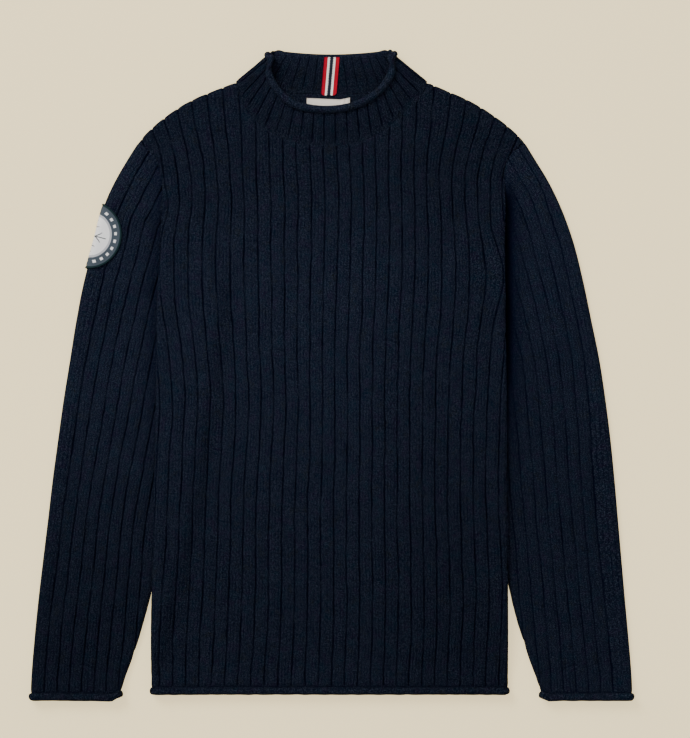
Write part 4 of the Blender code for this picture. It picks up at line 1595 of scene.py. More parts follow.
        strength = 1 - ease((course - self.ribs_end[0]) / self.ribs_end[1])
        strength = strength * ease((course - self.ribs_start[0]) / self.ribs_start[1])
        relief = relief * strength - self.seam_depth * bell(course, self.seam_width)
        sunk_and_shade, lined = sunk_and_shade * strength, lined * strength
        sheet = ClothGrid(points, all_normals, rib, course, relief, sunk_and_shade, lined, joined=True)
        # the inner face gets its own share of the painted shade
        sheet.inner_share, sheet.inner_relief = self.inner_shade_share, -self.inner_depth * sunk_and_shade
        return sheet

    def rim_travel(self, at: Array, along: Array, normal: Array) -> Array:
        """Direction in which the cloth runs on past the rim.

        Args:
            at: Distances round the ring.
            along: Unit directions up the tube at the rim.
            normal: Unit normals there.

        Returns:
            Unit directions, square to the normals.
        """
        radial = unit((self.high - self.low) * (1, 1, 0))
        run = np.roll(self.high, -1, axis=0) - np.roll(self.high, 1, axis=0)
        square = unit(np.column_stack([-run[:, 1], run[:, 0], np.zeros(len(run))]) + 1e-9)
        square = square * np.sign(np.sum(square * radial, axis=1, keepdims=True))
        mixed = unit(0.5 * radial + 0.5 * square)
        for corner in (FRONT_COUNT, FRONT_COUNT + CORNER_COUNT + BACK_COUNT):
            mixed[corner : corner + CORNER_COUNT] = radial[corner : corner + CORNER_COUNT]
        wanted = self.radial_share * self.around(mixed, at) + (1.0 - self.radial_share) * along
        return unit(wanted - np.sum(wanted * normal, axis=-1, keepdims=True) * normal)

    def rim_roll(self, at: Array) -> tuple[Array, Array]:
        """Radius and turn of the rim's roll: fullest beside the folds, tightest on the back.

        Args:
            at: Distances round the ring.

        Returns:
            The radius and the turn in degrees at each distance.
        """
        middle = FRONT_COUNT // 2
        from_middle = np.abs(np.arange(FRONT_COUNT) - middle) / middle
        front = self.rim_radius[0] + self.rim_radius[1] * from_middle
        back = np.full(BACK_COUNT, ROLL_BACK)
        radius = np.concatenate([front, CORNER_RADII, back, CORNER_RADII[::-1]])
        return self.around(radius, at)[:, 0], np.full(len(at), self.rim_turn)


# ---- trims ----


@dataclass
class HangerTape:
    """The striped tape over the seam inside the back of the neck."""

    collar: ClothGrid
    width: float = 17.4
    wall: float = 1.0
    gap: float = 0.4
    foot: float = 322.4
    behind: float = 320.0
    corner: float = 3.2
    corner_rows: int = 7
    bend: float = 6.0
    step: float = 1.6
    lean: Pair = (-3.3, 0.5)
    waviness: float = 0.25
    wave: tuple[int, float] = (71, 26.0)
    columns: int = 15

    def surface(self) -> ClothGrid:
        """The tape's cloth, its public face up.

        Returns:
            Its grid from the rounded foot to the rim.
        """
        line, normals = self.collar.points, self.collar.normals
        back = np.argmin(np.abs(line[0, :, 0]) + 1e3 * (line[0, :, 1] < self.behind))
        lift = WALL / 2 + self.gap + self.wall / 2
        path = (line - lift * normals)[:-RIM_STEPS, back]
        path = path[path[:, 1] > self.foot + self.bend]
        path = np.vstack([[path[0, 0], self.foot, WALL + self.gap + self.wall / 2], path])
        path = smooth_path(path, self.step)
        run, round_end = run_along(path), self.corner
        ends = round_end * (1 - np.cos(np.linspace(0.0, math.pi / 2, self.corner_rows)))
        edge = np.concatenate([ends, run[run > round_end + 0.5]])
        centre = on_path(path, edge)
        slope = unit(np.gradient(centre, axis=0))
        inside = np.clip(round_end - edge, 0, round_end)
        short = round_end - np.sqrt(np.clip(round_end ** 2 - inside ** 2, 0, None))
        across = (self.width / 2 - short)[:, None] * np.linspace(-1, 1, self.columns)[None]
        centre[:, 0] = np.interp(edge, (0, edge[-1]), self.lean)
        points = np.repeat(centre[:, None], self.columns, 1)
        points[..., 0] += across
        seed, length = self.wave
        points[..., 2] += 0.2 + self.waviness * ripple(points[..., 0], points[..., 1], seed, length)
        up = np.column_stack([np.zeros(len(slope)), -slope[:, 2], slope[:, 1]])
        up = np.repeat(up[:, None], self.columns, 1)
        course = np.repeat(edge[:, None], self.columns, 1)
        nothing = np.zeros(across.shape)
        return ClothGrid(points, up, across, course, nothing, nothing, nothing, wall=self.wall)


@dataclass
class NeckLabel:
    """A blank woven label, one corner curled."""

    size: Pair = (51.0, 24.0)
    place: Pair = (-3.1, 307.5)
    wall: float = 0.8
    gap: float = 0.4
    curl: float = 3.4
    curl_from: Pair = (0.26, 0.24)
    curl_up: Pair = (0.16, 0.34)
    curl_shift: Pair = (1.5, 0.4)
    tip: Pair = (0.55, 0.45)
    tip_drop: float = 1.6
    slope: float = 2.4
    fold_at: float = 0.35
    fold_slant: float = 0.16
    fold_width: float = 0.035
    fold_rise: float = 1.5
    waves: Place = (0.25, 5.2, 3.0)
    counts: tuple[int, int] = (56, 15)

    def surface(self) -> ClothGrid:
        """The label's cloth, its face up.

        Returns:
            Its grid from the lower edge to the upper one.
        """
        u, v = np.meshgrid(*(np.linspace(-0.5, 0.5, count) for count in self.counts))
        start, length = self.curl_from
        upper = ease((v + self.curl_up[0]) / self.curl_up[1])
        corner = np.clip((u - start) / length, 0, 1) * upper
        fold = bell(u - self.fold_at - self.fold_slant * (v - 0.5), self.fold_width) * upper
        back, up = self.curl_shift
        x = self.place[0] + u * self.size[0] - back * corner ** 2
        y = self.place[1] + v * self.size[1] - self.slope * (u + 0.5) * (1 - corner) + up * corner
        z = WALL + self.gap + self.wall / 2 + self.curl * np.sin(0.5 * math.pi * corner) ** 2
        tip = np.clip((corner - self.tip[0]) / self.tip[1], 0, 1)
        z = z - self.tip_drop * tip ** 2 + self.fold_rise * fold
        high, wide, long = self.waves
        z = z + high * (1 + np.sin(wide * u + 1.0) * np.cos(long * v))
        points = np.stack([x, y, z], -1)
        normals = unit(np.cross(np.gradient(points, axis=1), np.gradient(points, axis=0)))
        nothing = np.zeros(u.shape)
        across, course = u * self.size[0], v * self.size[1]
        return ClothGrid(points, normals, across, course, nothing, nothing, nothing, wall=self.wall)


@dataclass
class ArmBadge:
    """The round embroidered badge that wraps the outer fold of a sleeve."""

    sleeve: Sleeve
    shift: float = -10.1
    border: float = 0.945
    welt: float = 0.6
    welt_stitches: Pair = (0.12, 150.0)
    inner_rings: int = 22
    border_rings: int = 12
    spokes: int = 120
    step: float = 0.8

    def surface(self) -> ClothGrid:
        """The badge's cloth.

        Returns:
            Its grid from the middle to the border, closed round.
        """
        up_sleeve = np.linspace(0.0, self.sleeve.length_span[1], 1500)
        heights = self.sleeve.spine(up_sleeve)[0][:, 1]
        centre = float(np.interp(BADGE_HEIGHT, heights, up_sleeve))
        inner = np.linspace(0.0, 0.9, self.inner_rings)
        outer = np.linspace(0.915, 1.0, self.border_rings)
        angle = np.linspace(0, 2 * math.pi, self.spokes + 1)
        r, a = np.meshgrid(np.concatenate([inner, outer]) * BADGE_RADIUS, angle, indexing="ij")
        up, round_ = r * np.sin(a), r * np.cos(a)
        length, around = centre + up, self.shift + round_
        points, normals = self.sleeve.place(length, around)
        before, after = (self.sleeve.place(length, around + k)[0] for k in (-self.step, self.step))
        below, above = (self.sleeve.place(length + k, around)[0] for k in (-self.step, self.step))
        smooth = unit(np.cross(after - before, above - below))
        smooth = smooth * np.sign(np.sum(smooth * normals, axis=-1, keepdims=True))
        points = points + smooth * (WALL / 2 + BADGE_GAP + BADGE_WALL / 2)
        welt = np.clip((r / BADGE_RADIUS - self.border) / (1 - self.border), 0, 1)
        depth, stitches = self.welt_stitches
        relief = self.welt * np.sqrt(np.clip(1 - (2 * welt - 1) ** 2, 0, 1)) * (welt > 0)
        relief = relief * (1 + depth * np.sin(a * stitches))
        nothing = np.zeros(r.shape)
        return ClothGrid(
            points, smooth, round_, up, relief, nothing, nothing, wall=BADGE_WALL, joined=True
        )


# ---- finishes ----


class NodeTree:
    """Small helper that wires shader maths."""

    def __init__(self, material: bpy.types.Material) -> None:
        """Take over a material's nodes.

        Args:
            material: The material to fill.
        """
        material.use_nodes = True
        self.tree = material.node_tree
        self.shader = self.tree.nodes["Principled BSDF"]

    def cloth(self) -> tuple[Socket, Socket, Socket]:
        """The place on the cloth, as a vector, across the ribs and along them."""
        place = self.node("ShaderNodeUVMap", uv_map="knit")
        parts = self.node("ShaderNodeSeparateXYZ")
        self.feed(parts.inputs[0], place.outputs[0])
        return place.outputs[0], parts.outputs[0], parts.outputs[1]

    def waves(self, value: Socket, length: float) -> Socket:
        """Sine waves of a length along a value."""
        return self.math("SINE", self.math("MULTIPLY", value, 2 * math.pi / length))

    def times(self, *values: object) -> Socket:
        """The product of values or sockets, multiplied in order."""
        product = values[0]
        for value in values[1:]:
            product = self.math("MULTIPLY", product, value)
        return product

    def coat(self, tone: object, roughness: float, specular: float) -> None:
        """Give the shader its colour, roughness and sheen."""
        self.feed(self.shader.inputs["Base Color"], tone)
        self.shader.inputs["Roughness"].default_value = roughness
        self.shader.inputs["Specular IOR Level"].default_value = specular

    def node(self, kind: str, **settings: object) -> bpy.types.Node:
        """A new node with its settings."""
        made = self.tree.nodes.new(kind)
        for key, value in settings.items():
            setattr(made, key, value)
        return made

    def feed(self, socket: Socket, value: object) -> None:
        """Give a socket a number, a colour or another node's output."""
        if isinstance(value, Socket):
            self.tree.links.new(value, socket)
        else:
            socket.default_value = value

    def math(self, operation: str, a: object, b: object = 0.0, c: object = 0.0) -> Socket:
        """One step of arithmetic.

        Args:
            operation: Blender's name of the operation.
            a: First value or socket.
            b: Second value or socket.
            c: Third value or socket.

        Returns:
            The result's socket.
        """
        made = self.node("ShaderNodeMath", operation=operation)
        for socket, value in zip(made.inputs, (a, b, c)):
            self.feed(socket, value)
        return made.outputs[0]

    def mix(self, share: object, a: object, b: object) -> Socket:
        """A mix of two colours.

        Args:
            share: How much of the second.
            a: First colour or socket.
            b: Second colour or socket.

        Returns:
            The mixed colour's socket.
        """
        made = self.node("ShaderNodeMix", data_type="RGBA")
        self.feed(made.inputs[0], share)
        self.feed(made.inputs[6], a)
        self.feed(made.inputs[7], b)
        return made.outputs[2]

    def band(self, value: object, low: float, high: float, soft: float) -> Socket:
        """One where a value lies between two limits, soft at both.

        Args:
            value: The value's socket.
            low: Lower limit.
            high: Upper limit.
            soft: Width of the soft edges.

        Returns:
            The share's socket.
        """
        rise = self.math("MULTIPLY_ADD", value, 1 / soft, -low / soft)
        fall = self.math("MULTIPLY_ADD", value, -1 / soft, high / soft)
        both = self.math("MINIMUM", rise, fall)
        return self.math("MAXIMUM", self.math("MINIMUM", both, 1.0), 0.0)

    def noise(self, vector: Socket, scale: float, detail: float = 2.0) -> Socket:
        """Noise over a vector, about a half on average."""
        made = self.node("ShaderNodeTexNoise")
        self.feed(made.inputs["Vector"], vector)
        made.inputs["Scale"].default_value = scale
        made.inputs["Detail"].default_value = detail
        return made.outputs["Fac"]

    def bump(self, height: Socket, distance: float) -> None:
        """Send a height in millimetres to the shader's normal."""
        made = self.node("ShaderNodeBump")
        made.inputs["Distance"].default_value = distance * MM
        self.feed(made.inputs["Height"], height)
        self.feed(self.shader.inputs["Normal"], made.outputs[0])


def colour(r: float, g: float, b: float) -> tuple[float, float, float, float]:
    """A colour with full opacity."""
    return (r, g, b, 1.0)


NO_UPPER = 2.0  # above any noise or cosine
NO_LOWER = -1.0  # below any noise or distance
BEYOND_TAPE = 20.0  # past the tape's edge
BEYOND_BADGE = 9.0  # past the badge's edge


@dataclass(frozen=True)
class Finish:
    """A cloth's looks: its material's name, and how rough and how shiny it is."""

    name: str
    roughness: float = 0.8
    specular: float = 0.15

    def make(self) -> bpy.types.Material:
        """The new material."""
        material = bpy.data.materials.new(self.name)
        nodes = NodeTree(material)
        nodes.coat(self.paint(nodes), self.roughness, self.specular)
        return material

    def paint(self, nodes: NodeTree) -> Socket:
        """Wire the finish's bumps and its colour; each finish has its own."""
        raise NotImplementedError


@dataclass(frozen=True)
class KnitFinish(Finish):
    """Dark melange wool in a fine rib, with painted shade in its lines, in the deep fold beside the
    body and toward its ends.
    """

    roughness: float = 1.0
    specular: float = 0.01
    rib_width: float = 15.0
    wales: float = 4.0
    stitch: float = 1.55
    # painted shade: from where to where, and by how much, the cloth is painted darker toward its
    # low end, its high end and one side
    dim_low: Place = (-350.0, 110.0, 0.24)
    dim_high: Place = (130.0, 270.0, 0.0)
    dim_across: Place = (2.0, 10.0, 0.0)
    ground: Tone = (0.0044, 0.0068, 0.0134)
    teal: Tone = (0.0016, 0.0092, 0.0170)
    plum: Tone = (0.0074, 0.0048, 0.0148)
    olive: Tone = (0.0062, 0.0072, 0.0070)
    pale: Tone = (0.0270, 0.0340, 0.0540)
    # dark flecks of the melange, and the colour of the painted shade in the lines
    dark_fleck_and_shade: Tone = (0.0004, 0.0013, 0.0072)
    waver: float = 0.09
    # painted shade along the rib lines: how wide, and how broken
    line: Pair = (0.95, 0.6)
    line_broken: Pair = (1.1, 0.35)
    # painted shade in the fine hollows between wales: how wide, how patchy, and its span
    thin: Pair = (0.7, 0.7)
    thin_patchy: Pair = (2.6, -0.75)
    thin_span: Pair = (0.12, 0.85)
    # how much of the sunk share is painted as shade, and how dark the painted shade gets at most
    sunk_share: float = 0.62
    darkest: float = 0.95
    # share by which the deepest painted shadow goes to black
    black_shade_share: float = 0.8
    line_dent: float = -0.8
    bump_height: float = 0.55

    def paint(self, nodes: NodeTree) -> Socket:
        """Wire the ribs, the stitches, the melange and the painted shade.

        Args:
            nodes: The material's nodes.

        Returns:
            The colour's socket.
        """
        _, rib, along = nodes.cloth()
        joined = nodes.node("ShaderNodeCombineXYZ")
        nodes.feed(joined.inputs[0], nodes.times(rib, self.rib_width))
        nodes.feed(joined.inputs[1], along)
        vector = joined.outputs[0]
        drift = nodes.node("ShaderNodeVectorMath", operation="ADD")
        nodes.feed(drift.inputs[0], vector)
        drift.inputs[1].default_value = (310.0, 170.0, 40.0)
        far = drift.outputs[0]

        # the sunk marks and the lines' strength set where shade is painted
        lined = nodes.node("ShaderNodeAttribute", attribute_name="lined").outputs["Fac"]
        sunk_and_shade = nodes.node("ShaderNodeAttribute", attribute_name="sunk_and_shade").outputs["Fac"]
        wavy = nodes.math("MULTIPLY_ADD", nodes.noise(vector, 0.3), self.waver, -self.waver / 2)
        wavy = nodes.math("ADD", rib, wavy)
        off = nodes.times(nodes.math("PINGPONG", wavy, 0.5), self.rib_width)
        broken = nodes.math("MULTIPLY_ADD", nodes.noise(far, 0.35, 3.0), *self.line_broken)
        # painted shade along each rib line
        line = nodes.times(nodes.band(off, NO_LOWER, *self.line), lined, broken)
        # painted shade in the fine hollows between the wales, patchy
        wale = nodes.math("PINGPONG", nodes.times(wavy, self.wales), 0.5)
        thin = nodes.band(nodes.times(wale, self.rib_width / self.wales), NO_LOWER, *self.thin)
        patchy = nodes.math("MULTIPLY_ADD", nodes.noise(vector, 0.05, 3.0), *self.thin_patchy)
        faintest, strongest = self.thin_span
        patchy = nodes.math("MINIMUM", nodes.math("MAXIMUM", patchy, faintest), strongest)
        thin = nodes.times(thin, lined, patchy)
        # painted shade: the darkest of the line, the fine hollows and the sunk marks; the melange
        # is mixed toward the shade colour
        shade = nodes.math("MAXIMUM", line, thin)
        shade = nodes.math("MAXIMUM", shade, nodes.times(sunk_and_shade, self.sunk_share))
        shade = nodes.math("MINIMUM", shade, self.darkest)
        height = self.relief(nodes, wale, along, vector)
        nodes.bump(nodes.math("MULTIPLY_ADD", line, self.line_dent, height), self.bump_height)
        tone = nodes.mix(shade, self.speckled(nodes, vector, far), colour(*self.dark_fleck_and_shade))
        # where the sunk marks pass one, mostly in the deep fold beside the body, the painted shade
        # goes toward black
        black_shade = nodes.math("MINIMUM", nodes.math("SUBTRACT", sunk_and_shade, 1.0), self.black_shade_share)
        tone = nodes.mix(nodes.math("MAXIMUM", black_shade, 0.0), tone, colour(0, 0, 0))
        # painted shade toward the ends and one side
        return nodes.mix(self.painted_dimness(nodes, rib, along), tone, colour(0, 0, 0))

    def speckled(self, nodes: NodeTree, vector: Socket, far: Socket) -> Socket:
        """The melange: clouds of tint under pale and deep flecks.

        Args:
            nodes: The material's nodes.
            vector: The place on the cloth.
            far: The same, drifted, for a second pattern.

        Returns:
            The colour's socket.
        """
        cloud, other = nodes.noise(vector, 0.075), nodes.noise(far, 0.085)
        fibre, speck = nodes.noise(vector, 1.04, 0.0), nodes.noise(far, 1.08, 0.0)
        tint = nodes.noise(far, 0.4, 1.0)
        soft_edge = 0.12
        tone = colour(*self.ground)
        for share, low, high, amount, mixed in (
            (cloud, 0.53, NO_UPPER, 0.70, self.plum),
            (other, 0.54, NO_UPPER, 0.60, self.teal),
            (cloud, NO_LOWER, 0.42, 0.70, self.olive),
            (tint, 0.58, NO_UPPER, 0.45, self.plum),
            (tint, NO_LOWER, 0.40, 0.45, self.teal),
            (speck, 0.52, NO_UPPER, 0.80, self.pale),
            (fibre, NO_LOWER, 0.50, 0.92, self.dark_fleck_and_shade),
        ):
            part = nodes.times(nodes.band(share, low, high, soft_edge), amount)
            tone = nodes.mix(part, tone, colour(*mixed))
        return tone

    def relief(self, nodes: NodeTree, wale: Socket, along: Socket, vector: Socket) -> Socket:
        """Height of the stitches.

        Args:
            nodes: The material's nodes.
            wale: Distance from a fine line, up to a half.
            along: Length along the ribs.
            vector: The place on the cloth.

        Returns:
            The height's socket.
        """
        turns = 2 * math.pi / self.stitch
        ridge_share, stitch_share, fuzz_share, slant = 0.5, 0.22, 0.9, 3.2
        ridge = nodes.math("SINE", nodes.times(wale, math.pi))
        slanted = nodes.math("MULTIPLY_ADD", along, turns, nodes.times(wale, slant))
        stitch = nodes.times(nodes.math("SINE", slanted), stitch_share)
        height = nodes.math("MULTIPLY_ADD", ridge, ridge_share, stitch)
        return nodes.math("MULTIPLY_ADD", nodes.noise(vector, 0.75), fuzz_share, height)

    def painted_dimness(self, nodes: NodeTree, rib: Socket, along: Socket) -> Socket:
        """Painted shade: how much darker the cloth is painted toward its ends and one side.

        Args:
            nodes: The material's nodes.
            rib: The rib coordinate.
            along: Length along the ribs.

        Returns:
            The dark share's socket.
        """
        light: object = 1.0
        for place, (start, end, amount), falls in (
            (along, self.dim_low, False), (along, self.dim_high, True), (rib, self.dim_across, True)
        ):
            ramp = nodes.node("ShaderNodeMapRange", interpolation_type="SMOOTHSTEP")
            nodes.feed(ramp.inputs[0], place)
            ends = (1.0, 1.0 - amount) if falls else (1.0 - amount, 1.0)
            for socket, value in zip(ramp.inputs[1:5], (start, end, *ends)):
                socket.default_value = value
            light = nodes.times(ramp.outputs[0], light)
        return nodes.math("SUBTRACT", 1.0, light)


@dataclass(frozen=True)
class TapeFinish(Finish):
    """Red edges, white bands, a narrow navy middle with small stitches."""

    name: str = "tape_weave"
    red: Tone = (0.33, 0.0, 0.014)
    white: Tone = (0.80, 0.77, 0.74)
    navy: Tone = (0.008, 0.011, 0.022)
    red_from: float = 4.3
    middle: Pair = (0.5, 2.2)
    stitch: float = 1.9
    weave: float = 0.8
    weave_height: float = 0.12

    def paint(self, nodes: NodeTree) -> Socket:
        """Wire the tape's bands and its weave.

        Args:
            nodes: The material's nodes.

        Returns:
            The colour's socket.
        """
        _, across, along = nodes.cloth()
        off = nodes.math("ABSOLUTE", across)
        edges = nodes.band(off, self.red_from, BEYOND_TAPE, 0.3)
        tone = nodes.mix(edges, colour(*self.white), colour(*self.red))
        reach = nodes.math("MULTIPLY_ADD", nodes.waves(along, self.stitch), *self.middle)
        middle = nodes.band(nodes.math("DIVIDE", off, reach), NO_LOWER, 1.0, 0.12)
        nodes.bump(nodes.waves(along, self.weave), self.weave_height)
        return nodes.mix(middle, tone, colour(*self.navy))


@dataclass(frozen=True)
class LabelFinish(Finish):
    """Off-white satin weave."""

    name: str = "label_weave"
    roughness: float = 0.65
    specular: float = 0.3
    cloth: Tone = (0.74, 0.67, 0.60)
    light: float = 1.12
    dark: float = 0.86
    weave: float = 0.7
    weave_height: float = 0.08

    def paint(self, nodes: NodeTree) -> Socket:
        """Wire the label's weave and its uneven white.

        Args:
            nodes: The material's nodes.

        Returns:
            The colour's socket.
        """
        place, _, along = nodes.cloth()
        nodes.bump(nodes.waves(along, self.weave), self.weave_height)
        dark, light = (
            colour(*(share * part for part in self.cloth)) for share in (self.dark, self.light)
        )
        return nodes.mix(nodes.noise(place, 0.9), dark, light)


@dataclass(frozen=True)
class BadgeFinish(Finish):
    """Embroidery: a thick border, a grey ring with plain ticks, a pale disc with a plain crystal.

    Lengths are shares of the badge's radius.
    """

    name: str = "badge_embroidery"
    border: Tone = (0.003, 0.017, 0.021)
    ring: Tone = (0.050, 0.066, 0.086)
    halo: Tone = (0.42, 0.43, 0.47)
    disc: Tone = (0.80, 0.80, 0.82)
    thread: Tone = (0.050, 0.060, 0.075)
    disc_end: float = 0.64
    halo_end: float = 0.70
    ring_end: float = 0.942
    ticks: float = 24.0
    tick_width: float = 0.2
    tick_span: Pair = (0.775, 0.865)
    spoke: Pair = (0.56, 0.02)
    barb: Pair = (0.15, 0.02)
    barb_slope: Pair = (0.8, 0.30)
    soft: float = 0.012
    sharp: float = 0.01
    satin: float = 0.9
    satin_share: float = 0.5
    bump_height: float = 0.3

    def paint(self, nodes: NodeTree) -> Socket:
        """Wire the badge's fields, its crystal and its threads.

        Args:
            nodes: The material's nodes.

        Returns:
            The colour's socket.
        """
        place, across, along = nodes.cloth()
        x, y = (nodes.math("DIVIDE", part, BADGE_RADIUS) for part in (across, along))
        squares = nodes.math("ADD", nodes.math("POWER", x, 2.0), nodes.math("POWER", y, 2.0))
        r, angle = nodes.math("SQRT", squares), nodes.math("ARCTAN2", y, x)
        tone = colour(*self.disc)
        for start, outer in ((self.disc_end, self.halo), (self.halo_end, self.ring)):
            tone = nodes.mix(nodes.band(r, start, BEYOND_BADGE, self.soft), tone, colour(*outer))
        ticks = nodes.math("COSINE", nodes.times(angle, self.ticks))
        ticks = nodes.band(ticks, self.tick_width, NO_UPPER, 0.2)
        marks = nodes.times(ticks, nodes.band(r, *self.tick_span, self.soft))
        tone = nodes.mix(marks, tone, colour(*self.disc))
        tone = nodes.mix(self.crystal(nodes, r, angle), tone, colour(*self.thread))
        border = nodes.band(r, self.ring_end, BEYOND_BADGE, self.sharp)
        grain = nodes.noise(place, 1.1, 3.0)
        satin = nodes.waves(along, self.satin)
        nodes.bump(nodes.math("MULTIPLY_ADD", satin, self.satin_share, grain), self.bump_height)
        return nodes.mix(border, tone, colour(*self.border))

    def crystal(self, nodes: NodeTree, r: Socket, angle: Socket) -> Socket:
        """Six spokes, each with a pair of barbs.

        Args:
            nodes: The material's nodes.
            r: Distance from the middle.
            angle: Angle round the middle.

        Returns:
            The share of the crystal's thread.
        """
        half_sixth = math.pi / 6
        sector = nodes.math("PINGPONG", nodes.math("ADD", angle, 4 * math.pi), half_sixth)
        out = nodes.times(r, nodes.math("COSINE", sector))
        aside = nodes.times(r, nodes.math("SINE", sector))
        length, width = self.spoke
        on_line = nodes.band(aside, NO_LOWER, width, self.soft)
        spoke = nodes.times(on_line, nodes.band(out, NO_LOWER, length, self.sharp))
        slanted = nodes.math("MULTIPLY_ADD", aside, *self.barb_slope)
        length, width = self.barb
        beside = nodes.math("ABSOLUTE", nodes.math("SUBTRACT", out, slanted))
        on_line = nodes.band(beside, NO_LOWER, width, self.soft)
        barbs = nodes.times(on_line, nodes.band(aside, NO_LOWER, length, self.sharp))
        return nodes.math("MAXIMUM", spoke, barbs)


# ---- light, floor and camera ----


@dataclass
class Studio:
    """A pale floor under soft light, seen from straight above; lengths in metres.

    The floor shines a little of its own colour, so that it looks as even as one under lamps all
    round.
    """

    floor_height: float = -0.0006
    floor_half: float = 3.0
    floor_tone: Tone = (1.0, 0.83, 0.475)
    floor_share: float = 0.45
    floor_glow: float = 1.15
    sky_tone: Tone = (1.0, 0.985, 0.96)
    sky_strength: float = 0.92
    lamp_tone: Tone = (1.0, 0.98, 0.94)
    lamp_energy: float = 310.0
    lamp_size: float = 2.6
    lamp_place: Place = (-2.3, 2.9, 3.8)
    camera_place: Place = (0.0155, 0.0075, 3.0)
    lens: float = 127.0

    def build(self) -> None:
        """Set up the floor, the lights and the camera."""
        half = self.floor_half
        mesh = bpy.data.meshes.new("floor")
        corners = [(-half, -half, 0), (half, -half, 0), (half, half, 0), (-half, half, 0)]
        mesh.from_pydata(corners, [], [(0, 1, 2, 3)])
        floor = linked("floor", mesh)
        floor.location.z = self.floor_height
        paint = bpy.data.materials.new("floor_paint")
        nodes = NodeTree(paint)
        nodes.coat(colour(*(self.floor_share * c for c in self.floor_tone)), 0.9, 0.1)
        nodes.shader.inputs["Emission Color"].default_value = colour(*self.floor_tone)
        nodes.shader.inputs["Emission Strength"].default_value = self.floor_glow
        mesh.materials.append(paint)
        self.lights()
        self.camera()

    def lights(self) -> None:
        """One large soft light from the upper left and an even sky."""
        world = bpy.data.worlds.new("studio_sky")
        world.use_nodes = True
        sky = world.node_tree.nodes["Background"]
        sky.inputs[0].default_value = colour(*self.sky_tone)
        sky.inputs[1].default_value = self.sky_strength
        bpy.context.scene.world = world
        lamp = bpy.data.lights.new("key", "AREA")
        lamp.shape = "DISK"
        lamp.size = self.lamp_size
        lamp.energy = self.lamp_energy
        lamp.color = self.lamp_tone
        key = linked("key", lamp)
        key.location = self.lamp_place
        key.rotation_euler = (-key.location).to_track_quat("-Z", "Y").to_euler()

    def camera(self) -> None:
        """The camera, looking straight down."""
        lens = bpy.data.cameras.new("view")
        lens.lens = self.lens
        lens.sensor_width = 36.0
        lens.clip_end = 50.0
        eye = linked("view", lens)
        eye.location = self.camera_place
        bpy.context.scene.camera = eye


# ---- the whole sweater ----


@dataclass(frozen=True)
class Piece:
    """A sewn piece, the solid it stands for, its finish slot, and its flat cloth in metres."""

    name: str
    node: str
    slot: str
    flat: Pair
    area: float
    rests_on: tuple[str, ...]


BACK = Piece("back_panel_cloth", "back_panel", "back_panel_knit", (0.447, 0.716), 0.284, ("floor",))
SLEEVE_RIGHT = Piece(
    "sleeve_right_cloth", "sleeve_right", "sleeve_right_knit", (0.292, 0.670), 0.159, ("floor",)
)
SLEEVE_LEFT = Piece(
    "sleeve_left_cloth", "sleeve_left", "sleeve_left_knit", (0.292, 0.670), 0.159, ("floor",)
)
BADGE = Piece(
    "arm_badge", "arm_patch", "patch_embroidery", (0.0792, 0.0792), 0.00492, (SLEEVE_RIGHT.name,)
)
FRONT = Piece(
    "front_panel_cloth", "front_panel", "front_panel_knit", (0.447, 0.716), 0.276,
    (BACK.name, SLEEVE_RIGHT.name, SLEEVE_LEFT.name),
)
COLLAR = Piece(
    "collar_cloth", "collar", "collar_knit", (0.517, 0.060), 0.0242, (BACK.name, "floor")
)
LABEL = Piece(
    "neck_label_cloth", "neck_label", "label_woven", (0.051, 0.024), 0.001224, (BACK.name,)
)
TAPE = Piece(
    "hanger_tape", "neck_tape", "tape_woven", (0.0174, 0.0460), 0.00076, (COLLAR.name,)
)


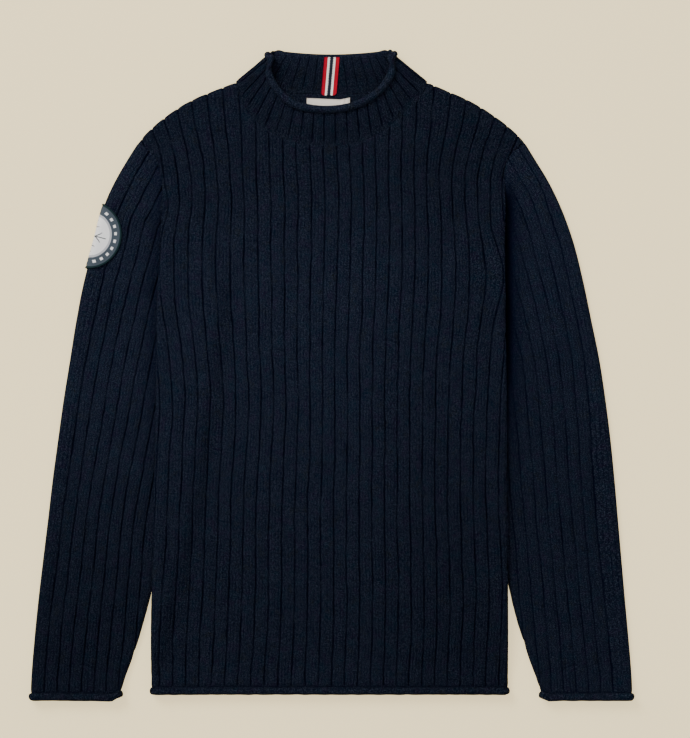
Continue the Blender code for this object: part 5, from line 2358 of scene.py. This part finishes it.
@dataclass
class Sweater:
    """The garment, made of its sewn pieces in order."""

    creases: tuple[Crease, ...] = (
        Crease((182.0, 231.5), (196.0, 230.5), 2.6, 2.0),
        Crease((140.0, 226.0), (184.0, 231.0), 5.0, 1.0),
        Crease((180.0, 113.0), (196.0, 115.0), 2.2, 1.0),
    )

    @staticmethod
    def add(piece: Piece, grid: ClothGrid, finish: bpy.types.Material) -> None:
        """Build one piece, hang it on the root body, and hide the solid it stands for.

        Args:
            piece: The piece's names and sizes, and what it lies on.
            grid: Its cloth.
            finish: Its material.
        """
        item = grid.build(piece.name)
        item.data.materials.append(finish)
        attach(item, "root")
        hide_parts(piece.node)
        list(piece.rests_on)
        LOG.info("%s: %d faces", piece.name, len(item.data.polygons))

    def build(self) -> None:
        """Make every piece, the lowest layer first."""
        back = BodyPanel(Layer.BACK, NECK_BACK, knit=RibKnit(groove_depth=1.1), seed=200)
        front = BodyPanel(Layer.FRONT, NECK_FRONT, creases=self.creases)
        right = Sleeve(Side.RIGHT)
        # the left sleeve gets a deeper painted shadow beside the body's edge
        left = Sleeve(Side.LEFT, cuff_curl=(3.0, 8.0), shade=(1.65, 244.0), seed=400)
        collar = Collar().surface()
        # the knit materials are one wool with different painted shade toward their ends and one
        # side; the collar's ribs are narrower
        right_knit = KnitFinish("right_sleeve_knit", dim_low=(40.0, 440.0, 0.34))
        left_knit = KnitFinish(
            "left_sleeve_knit", dim_low=(180.0, 560.0, 0.20), dim_high=(600.0, 700.0, 0.0)
        )
        collar_knit = KnitFinish("collar_knit", rib_width=COLLAR_PITCH, dim_low=(10.0, 46.0, 0.28))
        body_cloth = KnitFinish(
            "body_knit", dim_high=(110.0, 250.0, 0.16), dim_across=(1.0, 9.0, 0.12)
        ).make()
        self.add(BACK, back.surface(), body_cloth)
        self.add(SLEEVE_RIGHT, right.surface(), right_knit.make())
        self.add(SLEEVE_LEFT, left.surface(), left_knit.make())
        self.add(BADGE, ArmBadge(right).surface(), BadgeFinish().make())
        self.add(FRONT, front.surface(), body_cloth)
        self.add(COLLAR, collar, collar_knit.make())
        self.add(LABEL, NeckLabel().surface(), LabelFinish().make())
        self.add(TAPE, HangerTape(collar).surface(), TapeFinish().make())


def main() -> None:
    """Build the sweater and its studio."""
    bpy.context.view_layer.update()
    Sweater().build()
    Studio().build()


if __name__ == "__main__":
    main()
